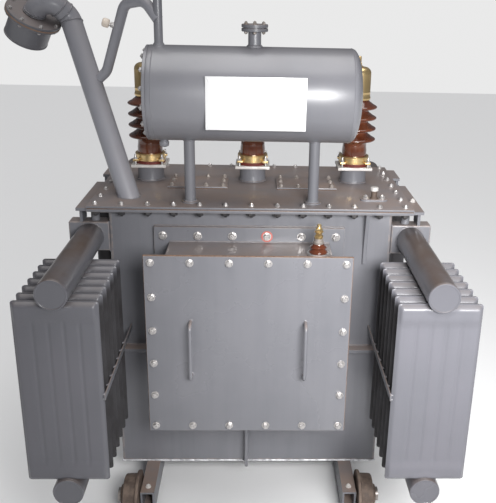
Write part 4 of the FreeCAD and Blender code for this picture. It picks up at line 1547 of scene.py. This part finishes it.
class TRANSFORMER_OT_bushings(bpy.types.Operator):
    """Build the three high-voltage bushings with turrets, clamps, sheds and caps"""

    bl_idname = "transformer.bushings"
    bl_label = "Bushings"

    def execute(self, context):
        turret_low, turret_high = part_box("bushing_turrets")
        clamp_low, clamp_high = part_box("bushing_clamps")
        cap_low, cap_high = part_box("bushing_terminals")
        spots = {}
        for name in ("left", "middle", "right"):
            spots[name] = centre_of("bushing_porcelain_" + name)
        half = (turret_high.y - turret_low.y) / 2
        band = (clamp_high.y - clamp_low.y) / 2
        seat_foot = turret_high.z - 0.012
        rise = seat_foot - turret_low.z
        sheet = context.scene.transformer_sheet
        turret = [(0, 0), (0.062, 0), (0.0595, 0.004), (0.059, 0.008), (0.059, rise - 0.003), (0.0602, rise), (0, rise)]
        place_group(
            "turret_stacks",
            [lambda bm, s=s: turned(bm, turret, facing((s.x, s.y, turret_low.z), UP), 48) for s in spots.values()],
            [tank_paint()],
        )
        welds(
            "turret_welds",
            [ring_points((s.x, s.y, turret_low.z + 0.0015), 0.061, UP, 30) for s in spots.values()],
            tank_paint(), 1.1,
        )

        def seats(bm):
            for s in spots.values():
                plate(bm, (s.x - half, s.y - half, seat_foot), (s.x + half, s.y + half, turret_high.z), sheet.edge, 2)

        place_group("seat_plates", [seats], [pale_plate()], ["bushing_turrets"])
        tall = clamp_high.z - clamp_low.z
        lower = [
            (0.050, 0), (band, 0), (band, 0.003), (band - 0.0025, 0.006), (band - 0.0025, 0.014), (0.050, 0.014),
            (0.050, 0),
        ]
        place_group(
            "clamp_gaskets",
            [lambda bm, s=s: turned(bm, lower, facing((s.x, s.y, clamp_low.z), UP), 56) for s in spots.values()],
            [red_gasket()],
        )
        upper = [
            (0.052, 0.0135), (band, 0.0135), (band + 0.0015, 0.0155), (band + 0.0015, 0.020), (band - 0.001, 0.022),
            (band - 0.001, tall - 0.006), (band + 0.001, tall - 0.004), (band - 0.001, tall), (0.052, tall), (0.052, 0.0135),
        ]

        def clamps(bm):
            for s in spots.values():
                turned(bm, upper, facing((s.x, s.y, clamp_low.z), UP), 56)
                for across in (-1, 1):
                    for along in (-1, 1):
                        lug = Vector((s.x + across * 0.0565, s.y + along * 0.0565, clamp_low.z + 0.0145))
                        plate(bm, lug - Vector((0.013, 0.013, 0)), lug + Vector((0.013, 0.013, 0.0095)), 0.003, 3)

        place_group("clamp_bands", [clamps], [brass()], ["bushing_clamps"], angle=32.0)
        studs, nuts = [], []
        for s in spots.values():
            for across in (-1, 1):
                for along in (-1, 1):
                    studs.append(Vector((s.x + across * 0.0585, s.y + along * 0.0585, clamp_low.z)))
                    nuts.append((studs[-1] + UP * 0.024, UP))
        place_group(
            "clamp_studs",
            [lambda bm, s=s: turned(bm, [(0, 0), (0.0048, 0), (0.0048, 0.044), (0.0036, 0.046), (0, 0.046)], facing(s, UP), 10) for s in studs],
            [zinc()],
        )
        bolts("clamp_nuts", nuts, zinc(), 0.72)
        low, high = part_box("bushing_porcelain_middle")
        core, reach = 0.056, (high.y - low.y) / 2
        length_up = high.z - low.z
        profile = [(0, 0), (core - 0.001, 0), (core, 0.003), (core, 0.072), (core - 0.002, 0.086)]
        for step in range(4):
            rim = 0.121 + 0.048 * step
            profile += [
                (core - 0.002, rim - 0.014), (core + 0.003, rim - 0.0105), (reach - 0.012, rim - 0.0065),
                (reach - 0.003, rim - 0.0045), (reach - 0.0005, rim - 0.0015), (reach, rim + 0.0015),
                (reach - 0.0015, rim + 0.0045), (reach - 0.006, rim + 0.0075), (reach - 0.016, rim + 0.0125),
                (core + 0.010, rim + 0.020), (core + 0.003, rim + 0.0245), (core - 0.001, rim + 0.030),
            ]
        profile += [(core - 0.002, length_up - 0.003), (core - 0.004, length_up), (0, length_up)]
        for name, s in spots.items():
            place_group(
                "porcelain_" + name,
                [lambda bm, s=s: turned(bm, profile, facing((s.x, s.y, low.z), UP), 72)],
                [porcelain()], ["bushing_porcelain_" + name], angle=70.0,
            )
        cap = (cap_high.y - cap_low.y) / 2
        dome_foot, dome_top = 0.112, 0.140
        shape = [
            (0, -0.001), (cap, -0.001), (cap + 0.0015, 0.002), (cap + 0.0015, 0.010), (cap - 0.0005, 0.013),
            (cap - 0.0005, 0.030), (cap + 0.0002, 0.032), (cap - 0.0008, 0.034), (cap - 0.001, dome_foot - 0.003),
        ]
        for step in range(1, 9):
            turn = step / 8 * math.pi / 2
            shape.append((0.029 + (cap - 0.030) * math.cos(turn), dome_foot + (dome_top - dome_foot) * math.sin(turn)))
        shape += [(0.027, dome_top), (0.024, dome_top + 0.001), (0, dome_top + 0.001)]
        place_group(
            "terminal_caps",
            [lambda bm, s=s: turned(bm, shape, facing((s.x, s.y, cap_low.z), UP), 56) for s in spots.values()],
            [brass()], ["bushing_terminals"], angle=34.0,
        )
        foot = cap_low.z + dome_top
        tall = cap_high.z - foot
        thread = [(0, 0), (0.0118, 0)]
        for step in range(10):
            height = 0.002 + step * 0.004
            thread += [(0.0118, height), (0.0106, height + 0.002)]
        thread += [(0.0112, tall - 0.002), (0.009, tall), (0, tall)]
        place_group(
            "terminal_studs",
            [lambda bm, s=s: turned(bm, thread, facing((s.x, s.y, foot), UP), 24) for s in spots.values()],
            [brass()],
        )
        bolts(
            "terminal_nuts", [((s.x, s.y, foot + 0.001), UP) for s in spots.values()], brass(),
            1.35, tail=False,
        )
        return {"FINISHED"}


class TRANSFORMER_OT_fittings(bpy.types.Operator):
    """Build the hatch covers and the tap switch on the tank's cover"""

    bl_idname = "transformer.fittings"
    bl_label = "Cover fittings"

    def execute(self, context):
        low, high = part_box("hatch_covers")
        sheet = context.scene.transformer_sheet
        inner = 0.108
        spans = ((low.x, -inner), (inner, high.x))

        def gaskets(bm):
            for first, last in spans:
                plate(bm, (first + 0.003, low.y + 0.003, low.z), (last - 0.003, high.y - 0.003, low.z + 0.003), 0.0005)

        def lids(bm):
            for first, last in spans:
                plate(bm, (first, low.y, low.z + 0.0025), (last, high.y, high.z), sheet.edge * 1.3)

        place_group("hatch_gaskets", [gaskets], [cork()])
        place_group("hatch_lids", [lids], [hatch_paint()], ["hatch_covers"])
        places = []
        for first, last in spans:
            for across in range(4):
                for along in range(3):
                    if across in (0, 3) or along in (0, 2):
                        x = first + 0.020 + (last - first - 0.040) * across / 3
                        y = low.y + 0.020 + (high.y - low.y - 0.040) * along / 2
                        places.append(((x, y, high.z), UP))
        bolts("hatch_bolts", places, dusty_zinc(), scale=0.8)
        self.tap_switch()
        return {"FINISHED"}

    def tap_switch(self):
        """A small plate with two studs and a capped shaft."""
        low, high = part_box("tap_switch")
        centre = centre_of("tap_switch")
        half = (high.y - low.y) / 2
        reach = (high.x - low.x) / 2 - half
        thick = 0.008

        def base(bm):
            outline = []
            for side, start in ((1, -math.pi / 2), (-1, math.pi / 2)):
                for step in range(13):
                    turn = start + math.pi * step / 12
                    outline.append((centre.x + side * reach + half * math.cos(turn), centre.y + half * math.sin(turn)))
            rings = []
            for height, inward in ((0, 0), (thick - 0.0015, 0), (thick, 0.0015)):
                ring = []
                for x, y in outline:
                    pull = (half - inward) / half
                    axis = centre.x + (reach if x > centre.x else -reach)
                    ring.append(bm.verts.new((axis + (x - axis) * pull, centre.y + (y - centre.y) * pull, low.z + height)))
                rings.append(ring)
            bm.faces.new(list(reversed(rings[0])))
            bm.faces.new(rings[-1])
            for first, second in zip(rings, rings[1:]):
                for index in range(len(first)):
                    after = (index + 1) % len(first)
                    bm.faces.new((first[index], first[after], second[after], second[index]))

        place_group("tap_base", [base], [tank_paint()], ["tap_switch"])
        seat = facing((centre.x, centre.y, low.z + thick), UP)
        shaft = [(0, 0), (0.017, 0), (0.017, 0.004), (0.013, 0.006), (0.0125, 0.034), (0, 0.034)]
        place_group("tap_shaft", [lambda bm: turned(bm, shaft, seat, 28)], [iron()])
        cap = [(0, 0.033), (0.015, 0.033), (0.017, 0.035), (0.017, 0.046), (0.0155, 0.049), (0.010, 0.050), (0, 0.050)]
        place_group("tap_cap", [lambda bm: turned(bm, cap, seat, 32)], [pale_plate()])
        ends = [((centre.x + side * reach, centre.y, low.z + thick), UP) for side in (-1, 1)]
        bolts("tap_studs", ends, zinc(), 0.95)


def hatch_paint():
    return enamel("hatch_enamel", 1.0, dust_and_painted_light=0.95, streaks=0.1, edge_wear=1.0)


def dusty_zinc():
    return bare("dusty_zinc", [0.34, 0.31, 0.29], [0.20, 0.16, 0.13], 0.6, 60.0, 0.40, 0.25, Metallic=0.45)


class TRANSFORMER_OT_fasteners(bpy.types.Operator):
    """Bolt the cover, the cable box and the skids together"""

    bl_idname = "transformer.fasteners"
    bl_label = "Fasteners"

    def execute(self, context):
        low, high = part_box("tank_cover")
        rim_low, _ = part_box("tank_rim")
        edge = 0.031
        spots = []
        wide, deep = high.x - low.x - 2 * edge, high.y - low.y - 2 * edge
        for step in range(13):
            for y in (low.y + edge, high.y - edge):
                spots.append((low.x + edge + wide * step / 12, y))
        for step in range(1, 6):
            for x in (low.x + edge, high.x - edge):
                spots.append((x, low.y + edge + deep * step / 6))
        bolts("cover_bolts", [((x, y, high.z), UP) for x, y in spots], zinc(), scale=0.80)
        bolts("cover_nuts", [((x, y, rim_low.z), -UP) for x, y in spots], dark_nut(), scale=1.4)
        low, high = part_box("cable_box_cover")
        inset = 0.025
        spots = self.round_frame(low, high, inset, 6, 6)
        bolts("box_cover_bolts", [((x, low.y, z), FRONT) for x, z in spots], zinc(), scale=1.08)
        body_low, body_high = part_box("cable_box_body")
        seam = body_low.y + 0.010
        bolts("box_cover_nuts", [((x, seam, z), -FRONT) for x, z in spots], dusty_zinc(), scale=0.9)
        low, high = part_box("cable_box_frame")
        flange = body_high.y - 0.010
        spots = self.round_frame(low, high, 0.037, 6, 6)
        red = sorted(spot for spot in spots if spot[1] > high.z - 0.06)[3]
        bolts("box_flange_bolts", [((x, flange, z), FRONT) for x, z in spots], zinc(), scale=1.28)
        place_group(
            "red_washer",
            [lambda bm: turned(
                bm, [(0.006, 0), (0.0235, 0), (0.0235, 0.0030), (0.006, 0.0030), (0.006, 0)],
                facing((red[0], flange, red[1]), FRONT), 32,
            )],
            [red_fibre()],
        )
        step_low, step_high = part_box("lifting_lugs")
        skid_low, skid_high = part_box("skids")
        small = [((step_high.x - 0.020, step_low.y + 0.150, rim_low.z + 0.0135), UP)]
        small += [((side * (skid_high.x - 0.030), skid_low.y + 0.040, skid_high.z), UP) for side in (-1, 1)]
        bolts("earth_studs", small, pale_plate(), 0.85)
        return {"FINISHED"}

    def round_frame(self, low, high, inset, across, along):
        """Places round a rectangle's edge, seen from the front."""
        first, last = (low.x + inset, low.z + inset), (high.x - inset, high.z - inset)
        spots = []
        for step in range(across):
            x = first[0] + (last[0] - first[0]) * step / (across - 1)
            spots += [(x, first[1]), (x, last[1])]
        for step in range(1, along - 1):
            z = first[1] + (last[1] - first[1]) * step / (along - 1)
            spots += [(first[0], z), (last[0], z)]
        return spots


class TRANSFORMER_OT_running_gear(bpy.types.Operator):
    """Finish the skids and axles and build the four flanged wheels"""

    bl_idname = "transformer.running_gear"
    bl_label = "Running gear"

    def execute(self, context):
        finish_node("skids", skid_paint())
        finish_node("axles", steel())
        for corner in CORNERS:
            name = "wheel_" + corner
            low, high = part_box(name)
            side = -1 if "left" in corner else 1
            inner = low.x if side > 0 else high.x
            centre = centre_of(name)
            rim = (high.z - low.z) / 2
            axis = facing((inner, centre.y, centre.z), (side, 0, 0))
            bore = 0.02005
            profile = [
                (bore, 0.001), (0.040, 0.0), (0.044, 0.002), (0.078, 0.004), (0.084, 0.0015), (rim - 0.004, 0.0),
                (rim - 0.001, 0.0015), (rim, 0.004), (rim, 0.009), (rim - 0.0015, 0.0125), (rim - 0.006, 0.0145),
                (0.0915, 0.017), (0.0900, 0.021), (0.0895, 0.040), (0.0885, 0.060), (0.0865, 0.0655), (0.082, 0.068),
                (0.072, 0.068), (0.068, 0.065), (0.064, 0.058), (0.048, 0.056), (0.044, 0.060),
                (0.0435, 0.080), (0.041, 0.0835), (0.030, 0.084), (0.024, 0.0835), (bore, 0.081), (bore, 0.001),
            ]
            place_group(
                "flanged_" + name, [lambda bm: turned(bm, profile, axis, 72)], [iron()],
                [name], body=name, angle=40.0,
            )
        low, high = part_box("skids")
        tank_low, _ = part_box("tank_body")
        lines = []
        for side in (-1, 1):
            for across in (high.x, high.x - 0.060):
                lines.append([
                    Vector((side * across, tank_low.y, tank_low.z)), Vector((side * across, -tank_low.y, tank_low.z)),
                ])
        welds("skid_welds", lines, tank_paint(), 1.2)
        return {"FINISHED"}


def skid_paint():
    return enamel("skid_enamel", 0.92, dust_and_painted_light=1.0, streaks=0.5, edge_wear=0.5, gloss=0.08)


class TRANSFORMER_OT_stage(bpy.types.Operator):
    """Lay the pale floor and set the studio lights and the camera"""

    bl_idname = "transformer.stage"
    bl_label = "Stage"

    def execute(self, context):
        scene = context.scene
        stage = scene.transformer_stage
        bm = bmesh.new()
        bmesh.ops.create_grid(bm, x_segments=1, y_segments=1, size=14.0)
        mesh = bpy.data.meshes.new("floor")
        bm.to_mesh(mesh)
        bm.free()
        floor = bpy.data.objects.new("floor", mesh)
        scene.collection.objects.link(floor)
        paint = bpy.data.materials.new("pale_floor")
        paint.use_nodes = True
        shader = next(node for node in paint.node_tree.nodes if node.type == "BSDF_PRINCIPLED")
        shader.inputs["Base Color"].default_value = (*stage.floor, 1.0)
        shader.inputs["Roughness"].default_value = 0.7
        mesh.materials.append(paint)
        key = bpy.data.lights.new("key_light", "AREA")
        key.shape = "RECTANGLE"
        key.size = 1.35
        key.size_y = 0.85
        key.spread = math.radians(74.0)
        key.energy = stage.key
        self.light(key, (0.85, -3.00, 2.20), (0.75, -0.60, 1.05))
        overhead = bpy.data.lights.new("overhead_light", "SUN")
        overhead.angle = math.radians(60.0)
        overhead.energy = stage.overhead
        self.light(overhead, (0.0, 0.0, 4.0), (-0.25, 0.10, 0.0))
        world = bpy.data.worlds.new("even_light")
        world.use_nodes = True
        back = next(node for node in world.node_tree.nodes if node.type == "BACKGROUND")
        back.inputs["Color"].default_value = (0.93, 0.94, 1.0, 1.0)
        back.inputs["Strength"].default_value = stage.sky
        plain = world.node_tree.nodes.new("ShaderNodeBackground")
        plain.inputs["Color"].default_value = (*stage.floor, 1.0)
        seen = world.node_tree.nodes.new("ShaderNodeLightPath")
        either = world.node_tree.nodes.new("ShaderNodeMixShader")
        ending = next(node for node in world.node_tree.nodes if node.type == "OUTPUT_WORLD")
        world.node_tree.links.new(seen.outputs["Is Camera Ray"], either.inputs[0])
        world.node_tree.links.new(back.outputs[0], either.inputs[1])
        world.node_tree.links.new(plain.outputs[0], either.inputs[2])
        world.node_tree.links.new(either.outputs[0], ending.inputs["Surface"])
        scene.world = world
        scene.view_settings.view_transform = "Standard"
        lens = bpy.data.cameras.new("camera")
        lens.lens = stage.lens
        lens.sensor_width = 36.0
        lens.shift_x = stage.shift
        lens.clip_end = 60.0
        camera = bpy.data.objects.new("camera", lens)
        camera.location = stage.camera_place
        camera.rotation_euler = stage.camera_turn
        scene.collection.objects.link(camera)
        scene.camera = camera
        return {"FINISHED"}

    def light(self, lamp, place, target):
        """Place a light so that it looks at a point."""
        made = bpy.data.objects.new(lamp.name, lamp)
        made.matrix_world = facing(place, Vector(place) - Vector(target))
        bpy.context.scene.collection.objects.link(made)


# ------------------------------------------------------------------ add-on


SETTINGS = (
    ("transformer_paint", PaintSettings, "Paint"),
    ("transformer_metal", MetalSettings, "Metal and porcelain"),
    ("transformer_sheet", SheetSettings, "Sheet metal"),
    ("transformer_bolts", BoltSettings, "Bolts"),
    ("transformer_stage", StageSettings, "Stage"),
)
OPERATORS = (
    TRANSFORMER_OT_tank,
    TRANSFORMER_OT_cable_box,
    TRANSFORMER_OT_radiators,
    TRANSFORMER_OT_lifting,
    TRANSFORMER_OT_conservator,
    TRANSFORMER_OT_vent,
    TRANSFORMER_OT_bushings,
    TRANSFORMER_OT_fittings,
    TRANSFORMER_OT_fasteners,
    TRANSFORMER_OT_running_gear,
    TRANSFORMER_OT_stage,
)


class TRANSFORMER_PT_sidebar(bpy.types.Panel):
    """Lists the transformer's settings and the steps that build it"""

    bl_idname = "TRANSFORMER_PT_sidebar"
    bl_label = "Power Transformer"
    bl_space_type = "VIEW_3D"
    bl_region_type = "UI"
    bl_category = "Transformer"

    def draw(self, context):
        layout = self.layout
        for attribute, group, title in SETTINGS:
            box = layout.box()
            box.label(text=title)
            for key in group.__annotations__:
                box.prop(getattr(context.scene, attribute), key)
        steps = layout.column(align=True)
        for operator in OPERATORS:
            steps.operator(operator.bl_idname)


CLASSES = tuple(group for _, group, _ in SETTINGS) + OPERATORS + (TRANSFORMER_PT_sidebar,)


def register():
    for each in CLASSES:
        bpy.utils.register_class(each)
    for attribute, group, _ in SETTINGS:
        setattr(bpy.types.Scene, attribute, bpy.props.PointerProperty(type=group))


def unregister():
    for attribute, _, _ in reversed(SETTINGS):
        delattr(bpy.types.Scene, attribute)
    for each in reversed(CLASSES):
        bpy.utils.unregister_class(each)


def main():
    """Build the whole transformer."""
    register()
    for operator in OPERATORS:
        getattr(bpy.ops.transformer, operator.bl_idname.split(".")[1])()


if __name__ == "__main__":
    main()
